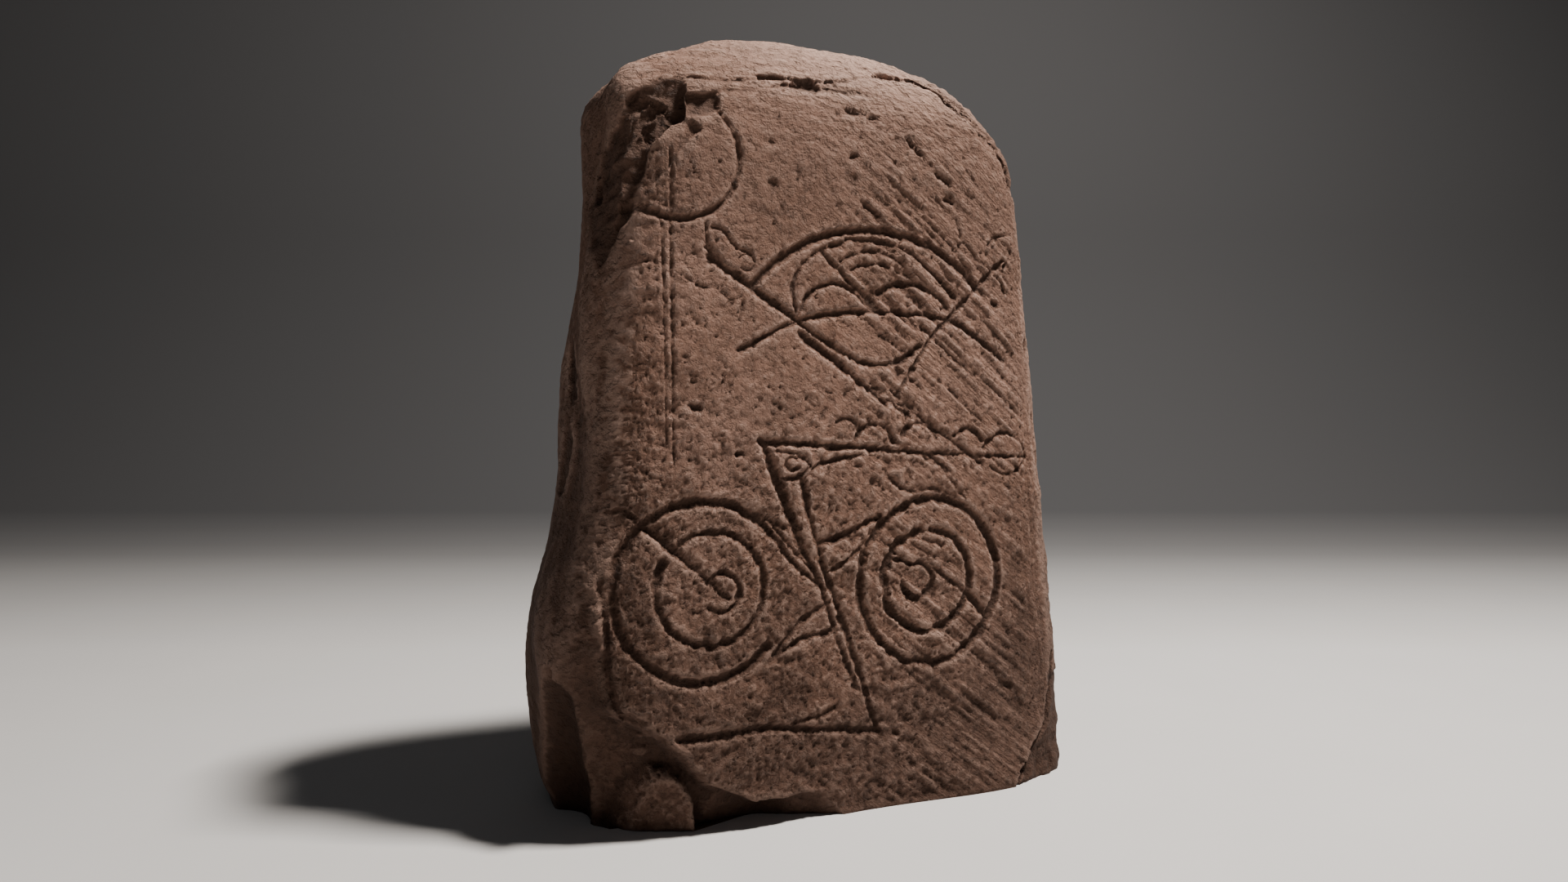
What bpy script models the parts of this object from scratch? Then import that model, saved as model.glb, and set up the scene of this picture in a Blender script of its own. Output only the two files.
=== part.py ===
"""Pictish symbol stone: one upright slab of sandstone with incised symbols on its face.

Frame: X runs to the right along the carved face, Y away from the viewer and Z up. The origin is
under the middle of the slab, on its flat underside.

The slab is a loft of rounded sections. Its breaks and its carving are cut out of it: breaks by
prisms with a flat floor, and each stroke by a tube with a square section, laid corner down, that
follows the face and leaves a V-shaped groove.
"""

import math

import bmesh
import bpy
import numpy as np
from mathutils import Matrix

# Sizes of the slab, in metres. The face stands a little in from half the thickness, because the
# foot of the slab bulges in front of it
HEIGHT = 1.268
THICKNESS = 0.415
FACE_INSET = 0.0075
FACE_Y = FACE_INSET - THICKNESS / 2
FACE_LEAN = math.radians(1.73)
BACK_TAPER = 0.030

# The outline and the carving are laid out in centimetres of the real stone, on a slab of this
# height, and keep their share of its height
LAYOUT_HEIGHT = 126.8
CM = HEIGHT / LAYOUT_HEIGHT
MM = CM / 10

# Outline seen from the front: height of a level, reach to the left and reach to the right
LEVELS = (
    (0.0, 43.6, 46.0),
    (12.0, 45.6, 47.6),
    (30.0, 47.2, 46.0),
    (50.0, 42.8, 43.9),
    (72.0, 40.5, 41.6),
    (98.0, 37.8, 38.7),
    (LAYOUT_HEIGHT, 42.3, 36.6),
)
SHOULDER = 101.5
DOME_POWER = 2.3
LEFT_CORNER = 4.6
RIGHT_CORNER = 5.0
BACK_CORNER = 3.2

# The face steps forward at its lower right: how far, how high up and how far across it grows
FOOT_BULGE = 2.4
FOOT_HEIGHT = 14.0
FOOT_REACH = 32.0

# Swell of the plain sides and back: its rise, the lengths of its waves, the height over which it
# grows and the depths, as shares of half the thickness before the middle, over which it sets in
SIDE_SWELL = 0.7
SWELL_ACROSS, SWELL_UP = 7.0, 11.0
SWELL_BACK, SWELL_DOWN = 5.0, 8.0
SWELL_RISE = 6.0
SWELL_FROM, SWELL_FULL = -0.7, -0.2

# Mesh of the slab: columns along each side and rows of the upright part and of the dome
FRONT_COLUMNS = 26
SIDE_COLUMNS = 8
BACK_COLUMNS = 9
UPRIGHT_ROWS = 19
DOME_ROWS = 9

# Cutters of the grooves: how far their middles stand in front of the face in millimetres, and
# how finely their paths are divided
TUBE_LIFT = 0.8
LONGEST_CHORD = 2.5
LONGEST_LINE = 7.5
ARC_SAG = 0.08
LEAST_CHORDS = 4

# Where the cutters of the breaks start in front of the face
PRISM_START = 30.0

SANDSTONE = (0.235, 0.125, 0.085, 1.0)


def blend(low, high, value):
    """Smooth step from 0 at low to 1 at high."""
    t = np.clip((value - low) / (high - low), 0.0, 1.0)
    return t * t * (3.0 - 2.0 * t)


def reach(height, side):
    """Reach of the outline at a height, smooth through the levels: side 1 is left, 2 is right."""
    levels = np.array(LEVELS)
    heights, values = levels[:, 0], levels[:, side]
    slopes = np.gradient(values, heights)
    height = np.clip(height, heights[0], heights[-1])
    low = np.clip(np.searchsorted(heights, height, side="right") - 1, 0, len(heights) - 2)
    span = heights[low + 1] - heights[low]
    t = (height - heights[low]) / span
    start = (1 + 2 * t) * (1 - t) ** 2 * values[low] + t * (1 - t) ** 2 * span * slopes[low]
    end = t * t * (3 - 2 * t) * values[low + 1] + t * t * (t - 1) * span * slopes[low + 1]
    return start + end


def dome(height):
    """How much of the section is left at a height, from 1 below the shoulder to 0 at the top."""
    rise = np.clip((height - SHOULDER) / (HEIGHT / CM - SHOULDER), 0.0, 1.0)
    return (1.0 - rise**DOME_POWER) ** (1.0 / DOME_POWER)


def section(height):
    """Middle and half sizes of the section at a height: middle x, half width, middle y, half depth."""
    left, right = -reach(height, 1), reach(height, 2)
    front = FACE_Y / CM + height * math.tan(FACE_LEAN)
    back = (FACE_Y + THICKNESS) / CM - BACK_TAPER / HEIGHT * height
    return (left + right) / 2, (right - left) / 2, (front + back) / 2, (back - front) / 2


def foot(x, height):
    """How far the right of the face steps forward above the underside."""
    return FOOT_BULGE * blend(0.0, FOOT_REACH, x) * blend(FOOT_HEIGHT, 0.0, height)


def face_y(x, height):
    """Depth of the uncut face at a place on it."""
    middle, width, centre, depth = section(height)
    size = dome(height)
    across = np.clip(np.abs(x - middle) / np.maximum(width * size, 1e-6), 0.0, 0.999)
    power = np.where(x < middle, LEFT_CORNER, RIGHT_CORNER)
    return centre - depth * size * (1.0 - across**power) ** (1.0 / power) - foot(x, height)


def slab_point(bearing, height):
    """Point of the slab's skin at a bearing around its middle and a height."""
    middle, width, centre, depth = section(height)
    c, s = math.cos(bearing), math.sin(bearing)
    power = BACK_CORNER if s > 0 else LEFT_CORNER if c < 0 else RIGHT_CORNER
    size = dome(height)
    radius = (abs(c / width) ** power + abs(s / depth) ** power) ** (-1.0 / power) * size
    x, y = middle + radius * c, centre + radius * s
    plain = blend(SWELL_FROM, SWELL_FULL, s * radius / (depth * size))
    swell = math.sin(x / SWELL_ACROSS + height / SWELL_UP)
    swell += math.sin(y / SWELL_BACK - height / SWELL_DOWN + 1.0)
    radius += plain * size * SIDE_SWELL * swell * blend(0.0, SWELL_RISE, height)
    x, y = middle + radius * c, centre + radius * s
    return x, y - (foot(x, height) if s < 0 else 0.0), height


def column_bearings():
    """Bearings of the columns: even steps along a box around the section, finest on the face."""
    wide = max(left + right for _, left, right in LEVELS) / 2
    deep = THICKNESS / CM / 2
    corners = ((-wide, -deep), (wide, -deep), (wide, deep), (-wide, deep))
    counts = (FRONT_COLUMNS, SIDE_COLUMNS, BACK_COLUMNS, SIDE_COLUMNS)
    bearings = []
    for i, count in enumerate(counts):
        (x0, y0), (x1, y1) = corners[i], corners[(i + 1) % 4]
        for step in range(count):
            t = step / count
            bearings.append(math.atan2(y0 + (y1 - y0) * t, x0 + (x1 - x0) * t))
    return bearings


def row_heights():
    """Heights of the rows from the top down, ending with the outline of the underside."""
    top = HEIGHT / CM
    turns = [math.pi / 2 * (1 - i / DOME_ROWS) for i in range(1, DOME_ROWS)]
    rows = [SHOULDER + (top - SHOULDER) * math.sin(turn) ** (2 / DOME_POWER) for turn in turns]
    return rows + [SHOULDER * (1 - i / UPRIGHT_ROWS) for i in range(UPRIGHT_ROWS + 1)]


def slab_mesh(name):
    """The uncut slab: a sphere whose rings become the sections of the stone."""
    bearings, heights = column_bearings(), row_heights()
    columns, rows = len(bearings), len(heights) + 1
    mesh = bpy.data.meshes.new(name)
    bm = bmesh.new()
    bmesh.ops.create_uvsphere(bm, u_segments=columns, v_segments=rows, radius=1.0)
    for vertex in bm.verts:
        row = round(math.acos(max(-1.0, min(1.0, vertex.co.z))) / math.pi * rows)
        column = round(math.atan2(vertex.co.y, vertex.co.x) / (2 * math.pi) * columns) % columns
        if row in (0, rows):
            height = HEIGHT / CM if row == 0 else 0.0
            middle, _, centre, _ = section(height)
            point = (middle, centre, height)
        else:
            point = slab_point(bearings[column], heights[row - 1])
        vertex.co = [value * CM for value in point]
    bmesh.ops.recalc_face_normals(bm, faces=bm.faces)
    bm.to_mesh(mesh)
    bm.free()
    return mesh


# Paths of the strokes, each a list of places on the face


def arc(x, z, radius, start, sweep):
    """Part of a circle: angles in degrees from the right, turning towards the top."""
    largest = 2 * math.degrees(math.acos(1 - min(ARC_SAG / radius, 0.5)))
    count = max(LEAST_CHORDS, math.ceil(abs(sweep) / largest))
    angles = [math.radians(start + sweep * i / count) for i in range(count + 1)]
    return [(x + radius * math.cos(a), z + radius * math.sin(a)) for a in angles]


def bow(x0, z0, x1, z1, rise):
    """Shallow arc between two places, which bulges by its rise to the left of its run."""
    chord = math.hypot(x1 - x0, z1 - z0)
    radius = (chord * chord / 4 + rise * rise) / (2 * abs(rise))
    half = math.asin(min(1.0, chord / 2 / radius))
    count = max(LEAST_CHORDS, math.ceil(chord / LONGEST_CHORD))
    along = ((x1 - x0) / chord, (z1 - z0) / chord)
    side = math.copysign(1.0, rise)
    path = []
    for i in range(count + 1):
        angle = half * (2 * i / count - 1)
        run = chord / 2 + radius * math.sin(angle)
        lift = side * (radius * math.cos(angle) - radius + abs(rise))
        path.append((x0 + run * along[0] - lift * along[1], z0 + run * along[1] + lift * along[0]))
    return path


def line(x0, z0, x1, z1):
    """Straight stroke, in steps that let it follow the face."""
    count = math.ceil(math.hypot(x1 - x0, z1 - z0) / LONGEST_LINE)
    return [(x0 + (x1 - x0) * i / count, z0 + (z1 - z0) * i / count) for i in range(count + 1)]


def curve(*places):
    """Smooth stroke through a few places."""
    points = np.array(places)
    points = np.vstack([2 * points[0] - points[1], points, 2 * points[-1] - points[-2]])
    path = []
    for a, b, c, d in zip(points, points[1:], points[2:], points[3:]):
        count = math.ceil(np.hypot(*(c - b)) / LONGEST_CHORD)
        for i in range(count):
            t = i / count
            path.append(
                b
                + (c - a) * t / 2
                + (2 * a - 5 * b + 4 * c - d) * t * t / 2
                + (3 * b - a - 3 * c + d) * t**3 / 2
            )
    return path + [points[-2]]


# Strokes of each symbol: path in centimetres, then width at its start and at its end in millimetres
MIRROR = (
    (arc(-28.0, 103.3, 9.5, -125, 172), 12, 11),
    (line(-29.0, 104.0, -29.4, 85.0), 8, 8),
    (line(-29.4, 85.0, -29.5, 57.0), 7, 4),
    (line(-30.6, 93.5, -30.7, 62.0), 6, 4),
)
CRESCENT = (
    (bow(-16.5, 84.3, 25.0, 85.4, 9.0), 13, 12),
    (curve((-9.2, 80.0), (-9.9, 84.5), (-6.6, 89.2), (0.5, 92.3)), 7, 9),
    (curve((0.5, 92.3), (9.0, 91.6), (15.5, 87.9), (20.4, 83.8)), 9, 10),
    (bow(-1.3, 88.7, 10.4, 88.5, 1.9), 9, 9),
    (bow(0.0, 87.0, 10.0, 87.0, 1.5), 7, 7),
    (curve((-1.3, 86.6), (1.0, 84.9), (4.0, 81.7)), 6, 9),
    (curve((-8.9, 79.6), (-7.2, 83.0), (-3.0, 85.1), (0.4, 84.2), (3.0, 82.2)), 9, 10),
    (bow(5.7, 83.9, 18.8, 82.1, 2.5), 10, 11),
    (curve((-19.0, 74.2), (-9.5, 78.7), (0.5, 80.6), (10.5, 80.8)), 11, 10),
    (curve((10.5, 80.8), (19.5, 79.7), (31.0, 73.4)), 10, 8),
    (curve((-8.5, 78.4), (-3.0, 75.1), (1.5, 72.7)), 11, 10),
    (curve((1.5, 72.7), (6.0, 72.1), (9.8, 73.0), (13.5, 75.4)), 10, 10),
)
V_ROD = (
    (line(-23.4, 88.1, -16.9, 83.8), 24, 15),
    (line(-16.9, 83.8, -8.6, 78.6), 13, 13),
    (line(-8.4, 76.9, 6.8, 65.7), 15, 11),
    (curve((31.0, 90.6), (25.9, 86.3), (20.4, 81.3), (15.7, 77.0)), 8, 10),
    (curve((15.7, 77.0), (12.0, 71.8), (8.6, 66.9)), 9, 8),
    (line(-24.0, 93.3, -23.8, 90.1), 6, 5),
    (curve((-23.0, 92.7), (-21.1, 92.1), (-19.2, 89.5)), 7, 8),
    (bow(-19.2, 89.2, -16.5, 87.5, 0.9), 6, 6),
    (arc(-17.7, 87.6, 1.3, 200, 150), 5, 5),
    (curve((27.8, 93.0), (29.6, 94.6), (33.1, 95.2)), 7, 6),
    (curve((33.1, 95.2), (32.9, 91.6), (31.3, 89.4)), 5, 6),
    (curve((28.1, 88.3), (30.5, 86.8), (31.6, 84.9)), 5, 6),
)
LEFT_DISC = (
    (arc(-25.2, 37.5, 13.7, 44, 275), 14, 13),
    (arc(-24.0, 37.9, 8.6, 165, 320), 13, 10),
    (arc(-22.4, 37.2, 2.9, -130, 270), 10, 10),
    (line(-34.6, 47.5, -21.3, 36.3), 18, 8),
    (curve((-39.5, 49.8), (-37.0, 50.1), (-34.8, 48.4)), 8, 9),
)
RIGHT_DISC = (
    (arc(15.0, 36.5, 13.6, 100, 360), 15, 15),
    (arc(14.3, 36.6, 8.4, 100, 345), 13, 13),
    (arc(12.3, 36.6, 2.8, 100, -280), 11, 9),
    (curve((7.4, 40.6), (10.0, 39.9), (12.0, 39.4)), 7, 10),
    (line(15.6, 38.4, 21.6, 34.3), 8, 8),
    (line(22.6, 33.4, 25.8, 29.8), 15, 11),
)
WAIST = (
    (curve((-6.2, 44.0), (-2.3, 44.5), (1.0, 45.9), (5.2, 47.6)), 13, 10),
    (curve((-4.0, 39.2), (-1.0, 40.8), (2.0, 43.2), (3.5, 45.3)), 10, 8),
    (line(-17.0, 49.0, -11.0, 46.2), 9, 9),
    (curve((-13.5, 46.7), (-10.3, 43.0), (-8.0, 40.6)), 7, 7),
    (curve((-17.2, 48.6), (-13.3, 44.8), (-10.4, 41.0), (-4.6, 36.2)), 13, 7),
    (curve((-13.9, 26.8), (-10.0, 31.2), (-4.0, 34.5)), 11, 10),
    (curve((-13.8, 26.9), (-8.8, 29.1), (-4.0, 29.6)), 9, 10),
)
Z_ROD = (
    (curve((-15.8, 60.1), (-7.0, 59.5), (2.0, 58.8)), 11, 12),
    (curve((2.0, 58.8), (16.2, 57.6), (35.8, 56.4)), 12, 6),
    (curve((-15.2, 59.8), (-13.0, 54.7), (-11.3, 49.8), (-9.3, 43.9)), 18, 15),
    (curve((-9.3, 43.9), (-6.1, 38.1), (-2.6, 28.1), (0.4, 20.7)), 12, 7),
    (curve((-8.5, 53.8), (-7.6, 48.5), (-6.0, 43.0), (-4.0, 37.0)), 13, 11),
    (curve((-4.0, 37.0), (-0.8, 28.1), (1.8, 20.7), (4.3, 13.0)), 11, 9),
    (curve((4.6, 12.6), (-6.2, 14.3), (-16.2, 15.6), (-29.3, 15.3)), 11, 15),
    (curve((-3.1, 17.5), (-6.0, 16.4), (-11.0, 15.9)), 8, 9),
    (curve((-8.5, 53.8), (-6.0, 56.1), (-2.7, 57.0), (2.0, 57.7)), 9, 9),
    (arc(-10.3, 56.4, 1.2, 20, 200), 6, 6),
    (bow(-12.8, 54.6, -8.0, 55.3, -0.7), 9, 6),
    (bow(26.0, 58.4, 35.8, 56.6, 3.3), 10, 6),
    (bow(27.5, 55.2, 35.8, 56.4, -2.2), 6, 5),
    (bow(0.8, 60.0, 8.0, 59.6, 2.8), 8, 9),
    (bow(9.6, 60.6, 16.2, 60.2, 2.3), 9, 9),
    (bow(19.8, 60.3, 25.6, 59.6, 1.6), 8, 8),
    (bow(-2.4, 62.9, 1.0, 62.8, 0.7), 6, 6),
)
EDGE_CRACKS = (
    (curve((-23.2, 115.6), (-15.0, 116.2), (-9.0, 117.6), (-2.6, 117.4), (4.0, 119.2)), 9, 16),
    (curve((4.0, 119.2), (10.0, 120.6), (17.0, 119.8), (24.0, 116.0), (30.0, 109.5)), 16, 9),
    (curve((-12.0, 115.4), (-6.0, 116.6), (2.0, 116.2)), 12, 7),
)
SYMBOLS = {
    "mirror": MIRROR,
    "crescent": CRESCENT,
    "v_rod": V_ROD,
    "left_disc": LEFT_DISC,
    "right_disc": RIGHT_DISC,
    "waist": WAIST,
    "z_rod": Z_ROD,
    "edge_cracks": EDGE_CRACKS,
}

# Breaks of the face: outline in centimetres, and a flat floor as its depth behind the foot of the
# face at the middle, and its slopes along and up the face. The scar at the upper left thins out on
# the flank, the broken foot at the lower left thins out upwards, and two floors meet in its pocket
TOP_SCAR = (
    (-25.9, 118.0), (-26.4, 113.5), (-27.0, 108.6), (-28.9, 108.2), (-31.7, 104.7), (-33.2, 99.0),
    (-34.6, 94.0), (-37.2, 89.3), (-40.0, 83.8), (-48.0, 80.0), (-48.0, 119.0),
)
TOP_SCAR_FLOOR = (18.7, -0.05, -0.12)
TOP_NOTCH = ((-26.9, 109.2), (-26.3, 116.2), (-21.2, 114.2), (-21.4, 110.7), (-23.0, 110.0))
TOP_NOTCH_FLOOR = (-29.3, -0.15, 0.29)
LEFT_FOOT = (
    (-60.0, 50.0), (-43.0, 43.0), (-39.9, 34.5), (-38.7, 20.5), (-30.9, 15.7), (-24.6, 8.1),
    (-17.2, 4.2), (-9.2, 5.0), (-5.0, 4.5), (-3.5, -3.0), (-60.0, -3.0),
)
LEFT_FOOT_FLOOR = (-5.4, -0.48, -0.305)
FOOT_POCKET = (
    (-24.6, 8.0), (-17.2, 4.1), (-9.3, 4.9), (-5.1, 4.4), (0.5, -3.0), (-25.0, -3.0),
)
FOOT_POCKET_FLOOR = (6.6, 0.0, -0.5)
POCKET_END_FLOOR = (-0.45, -0.47, -0.5)
RIGHT_BREAK = (
    (60.0, 18.0), (41.7, 17.0), (39.6, 9.5), (36.5, 6.0), (33.2, 2.9), (29.9, -3.0), (60.0, -3.0),
)
RIGHT_BREAK_FLOOR = (-11.6, 0.35, -0.1)

# Hollows: place on the face, half width, half height, tilt in degrees and depth
HOLLOWS = (
    (4.3, 82.4, 1.7, 2.2, 20, 1.0),
    (-26.3, 65.4, 1.3, 0.7, 0, 0.9),
    (-19.3, 58.1, 0.9, 0.6, 0, 0.8),
    (11.9, 108.8, 2.8, 0.8, -38, 0.8),
    (17.3, 103.3, 2.4, 0.7, -30, 0.8),
    (29.2, 83.0, 1.3, 0.7, -10, 0.9),
    (0.4, 20.3, 1.1, 0.7, -35, 0.7),
    (-3.0, 35.2, 1.6, 1.0, -40, 0.6),
    (31.0, 17.0, 1.2, 0.6, -20, 0.6),
)

# Worn slot up the left flank: places along its middle, as x, depth behind the foot of the face and
# height, and its radius there
FLANK_SLOT = (
    (-45.1, 16.4, -2.0, 5.8),
    (-45.4, 15.1, 6.0, 5.8),
    (-46.2, 13.8, 12.0, 5.2),
    (-46.8, 12.3, 18.0, 4.6),
    (-46.5, 10.9, 22.0, 3.3),
    (-46.2, 11.2, 24.8, 1.6),
)


def link(mesh_or_curve, name, collection):
    """New object in a collection."""
    item = bpy.data.objects.new(name, mesh_or_curve)
    collection.objects.link(item)
    return item


def hide_cutter(item):
    """Show a cutter as wires in the view and leave it out of a render."""
    item.hide_render = True
    item.display_type = "WIRE"
    return item


def cut(body, cutter):
    """Take a cutter out of a body."""
    modifier = body.modifiers.new(cutter.name, "BOOLEAN")
    modifier.operation = "DIFFERENCE"
    modifier.solver = "EXACT"
    modifier.object = cutter


def cut_all(body, cutters):
    """Take a collection of closed cutters, many of which cross each other, out of a body."""
    modifier = body.modifiers.new(cutters.name, "BOOLEAN")
    modifier.operation = "DIFFERENCE"
    modifier.solver = "MANIFOLD"
    modifier.operand_type = "COLLECTION"
    modifier.collection = cutters


def tube(name, points, radii, roundness, collection):
    """Cutter that follows points of the stone, square in section or rounder, with closed ends."""
    data = bpy.data.curves.new(name, "CURVE")
    data.dimensions = "3D"
    data.twist_mode = "Z_UP"
    data.bevel_depth = MM
    data.bevel_resolution = roundness
    data.use_fill_caps = True
    spline = data.splines.new("POLY")
    if math.dist(points[0], points[-1]) < MM:
        points, radii = points[:-1], radii[:-1]
        spline.use_cyclic_u = True
    spline.points.add(len(points) - 1)
    for point, place, radius in zip(spline.points, points, radii):
        x, y, z = (value * CM for value in place)
        point.co = (x, z, -y, 1.0)
        point.radius = radius
    item = link(data, name, collection)
    mesh = bpy.data.meshes.new_from_object(item)
    bpy.data.objects.remove(item)
    bm = bmesh.new()
    bm.from_mesh(mesh)
    bmesh.ops.remove_doubles(bm, verts=bm.verts, dist=0.01 * MM)
    bmesh.ops.recalc_face_normals(bm, faces=bm.faces)
    bm.to_mesh(mesh)
    bm.free()
    mesh.transform(Matrix.Rotation(math.pi / 2, 4, "X"))
    return hide_cutter(link(mesh, name, collection))


def carve(name, strokes, collection):
    """Cutters of one symbol's strokes."""
    for number, (path, start, end) in enumerate(strokes):
        points, radii = [], []
        for i, (x, z) in enumerate(path):
            width = start + (end - start) * i / (len(path) - 1)
            points.append((x, float(face_y(x, z)) - TUBE_LIFT * MM / CM, z))
            radii.append(width / 2 + TUBE_LIFT)
        tube(f"{name}_{number}", points, radii, 0, collection)


def flat_break(name, outline, floors, collection):
    """Prism from in front of the stone back to flat floors, of which the foremost counts."""
    mesh = bpy.data.meshes.new(name)
    bm = bmesh.new()
    start = FACE_Y - PRISM_START * CM
    face = bm.faces.new([bm.verts.new((x * CM, start, z * CM)) for x, z in outline])
    swept = bmesh.ops.extrude_face_region(bm, geom=[face])
    for vertex in swept["geom"]:
        if isinstance(vertex, bmesh.types.BMVert):
            x, _, z = vertex.co
            vertex.co.y = FACE_Y + min(depth * CM + along * x + up * z for depth, along, up in floors)
    bmesh.ops.triangulate(bm, faces=bm.faces)
    bmesh.ops.recalc_face_normals(bm, faces=bm.faces)
    bm.to_mesh(mesh)
    bm.free()
    return hide_cutter(link(mesh, name, collection))


def hollow(name, place, collection):
    """Flattened ball that leaves a rounded hollow in the face."""
    x, z, half_width, half_height, tilt, depth = place
    bm = bmesh.new()
    bmesh.ops.create_icosphere(bm, subdivisions=2, radius=1.0)
    turn = math.radians(tilt)
    for vertex in bm.verts:
        u, v, w = vertex.co.x * half_width, vertex.co.z * half_height, vertex.co.y * depth
        across = u * math.cos(turn) - v * math.sin(turn)
        up = u * math.sin(turn) + v * math.cos(turn)
        vertex.co = ((x + across) * CM, (float(face_y(x, z)) + w) * CM, (z + up) * CM)
    bmesh.ops.recalc_face_normals(bm, faces=bm.faces)
    mesh = bpy.data.meshes.new(name)
    bm.to_mesh(mesh)
    bm.free()
    return hide_cutter(link(mesh, name, collection))


def sandstone():
    """Reddish brown, rough, dry stone."""
    material = bpy.data.materials.new("sandstone")
    material.use_nodes = True
    shader = material.node_tree.nodes["Principled BSDF"]
    shader.inputs["Base Color"].default_value = SANDSTONE
    shader.inputs["Roughness"].default_value = 0.85
    shader.inputs["Metallic"].default_value = 0.0
    material.diffuse_color = SANDSTONE
    return material


def main():
    """Build the stone."""
    for item in list(bpy.data.objects):
        bpy.data.objects.remove(item)
    parts = bpy.data.collections.new("pictish_symbol_stone")
    cutters = bpy.data.collections.new("cutters")
    carving = bpy.data.collections.new("carving")
    for collection in (parts, cutters):
        bpy.context.scene.collection.children.link(collection)
    cutters.children.link(carving)
    carving.hide_render = True

    for name, strokes in SYMBOLS.items():
        carve(name, strokes, carving)
    for number, place in enumerate(HOLLOWS):
        hollow(f"hollow_{number}", place, carving)
    slot = [(x, FACE_Y / CM + depth, z) for x, depth, z, _ in FLANK_SLOT]
    slot_radii = [radius * CM / MM for *_, radius in FLANK_SLOT]
    breaks = (
        flat_break("top_scar", TOP_SCAR, (TOP_SCAR_FLOOR,), cutters),
        flat_break("left_foot", LEFT_FOOT, (LEFT_FOOT_FLOOR,), cutters),
        flat_break("foot_pocket", FOOT_POCKET, (FOOT_POCKET_FLOOR, POCKET_END_FLOOR), cutters),
        flat_break("top_notch", TOP_NOTCH, (TOP_NOTCH_FLOOR,), cutters),
        flat_break("right_break", RIGHT_BREAK, (RIGHT_BREAK_FLOOR,), cutters),
        tube("flank_slot", slot, slot_radii, 2, cutters),
    )

    stone = link(slab_mesh("stone"), "stone", parts)
    stone.data.materials.append(sandstone())
    for cutter in breaks:
        cut(stone, cutter)
    cut_all(stone, carving)


main()
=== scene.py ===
"""Looks of the pictish symbol stone: carved and weathered surface, sandstone, floor, light, camera.

The surface is worked out in centimetres, in the frame of the solid: X to the right along the
carved face, Y away from the viewer, Z up. It starts from the solid's own rounded sections.
"""

import math

import bpy
import numpy as np
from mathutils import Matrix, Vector, kdtree


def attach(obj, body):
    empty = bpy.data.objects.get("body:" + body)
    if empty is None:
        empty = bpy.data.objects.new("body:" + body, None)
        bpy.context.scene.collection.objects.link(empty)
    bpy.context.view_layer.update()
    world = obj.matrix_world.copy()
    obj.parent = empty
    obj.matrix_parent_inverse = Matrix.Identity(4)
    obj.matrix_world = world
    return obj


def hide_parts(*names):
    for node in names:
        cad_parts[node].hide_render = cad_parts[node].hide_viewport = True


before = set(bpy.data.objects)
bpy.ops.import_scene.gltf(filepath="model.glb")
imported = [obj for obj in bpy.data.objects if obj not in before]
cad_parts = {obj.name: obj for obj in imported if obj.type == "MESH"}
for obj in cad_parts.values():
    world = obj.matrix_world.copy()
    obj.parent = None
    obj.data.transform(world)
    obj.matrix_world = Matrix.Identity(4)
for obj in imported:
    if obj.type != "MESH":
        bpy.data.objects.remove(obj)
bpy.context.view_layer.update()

CM = 0.01

# The solid's form: height, front and back planes, outline levels (height, reach to the left and to
# the right), powers of the dome and the corners, bulge of the foot and swell of the sides
HEIGHT = 126.8
THICKNESS = 41.5
FACE_SHIFT = 0.75
FACE_Y = FACE_SHIFT - THICKNESS / 2
FACE_LEAN = math.radians(1.73)
BACK_TAPER = 3.0
LEVELS = (
    (0, 43.6, 46),
    (12, 45.6, 47.6),
    (30, 47.2, 46),
    (50, 42.8, 43.9),
    (72, 40.5, 41.6),
    (98, 37.8, 38.7),
    (126.8, 42.3, 36.6),
)
SHOULDER = 101.5
DOME_POWER = 2.3
LEFT_CORNER = 4.6
RIGHT_CORNER = 5.0
BACK_CORNER = 3.2
FOOT_BULGE = 2.4
FOOT_HEIGHT = 14.0
FOOT_REACH = 32.0
SIDE_SWELL = 0.7
SWELL_ACROSS, SWELL_UP = 7.0, 11.0
SWELL_BACK, SWELL_DOWN = 5.0, 8.0
SWELL_RISE = 6.0
SWELL_FROM, SWELL_FULL = -0.7, -0.2

# Grid that the surface is worked out on, how far its middle point rises above the last row, the
# most triangles that stay, and what the grid tells the colour about each place
FRONT_COLUMNS = 600
SIDE_COLUMNS = 96
BACK_COLUMNS = 120
UPRIGHT_ROWS = 600
DOME_ROWS = 150
CROWN_RISE = 0.02
MOST_TRIANGLES = 196000
SURFACE_FIELDS = ("near_depth", "wide_depth", "broken_and_shade")

# Spread and seeds of the noise with finer and finer bumps
NOISE_SPREAD = 1.6
SEED_STEP = 31

# Wear of the outline: x and z of its middle, how wide it spreads, and how far it moves x and z
OUTLINE_WEAR = (
    (-39, 104.5, 7, 1.3, 0),
    (-36, 116, 5.8, -1, 0.4),
    (-24, 123, 7.5, 0, -1.1),
)


def clamped(value):
    """Value kept between 0 and 1."""
    return np.clip(value, 0.0, 1.0)


def blend(low, high, value):
    """Smooth step from 0 at low to 1 at high."""
    t = clamped((value - low) / (high - low))
    return t * t * (3.0 - 2.0 * t)


def reach(height, side):
    """Reach of the outline at a height, smooth through the levels: side 1 is left, 2 is right."""
    levels = np.array(LEVELS)
    heights, values = levels[:, 0], levels[:, side]
    slopes = np.gradient(values, heights)
    height = np.clip(height, heights[0], heights[-1])
    low = np.clip(np.searchsorted(heights, height, side="right") - 1, 0, len(heights) - 2)
    span = heights[low + 1] - heights[low]
    t = (height - heights[low]) / span
    start = (1 + 2 * t) * (1 - t) ** 2 * values[low] + t * (1 - t) ** 2 * span * slopes[low]
    end = t * t * (3 - 2 * t) * values[low + 1] + t * t * (t - 1) * span * slopes[low + 1]
    return start + end


def dome(height):
    """How much of the section is left at a height, from 1 below the shoulder to 0 at the top."""
    rise = clamped((height - SHOULDER) / (HEIGHT - SHOULDER))
    return (1.0 - rise**DOME_POWER) ** (1.0 / DOME_POWER)


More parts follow.
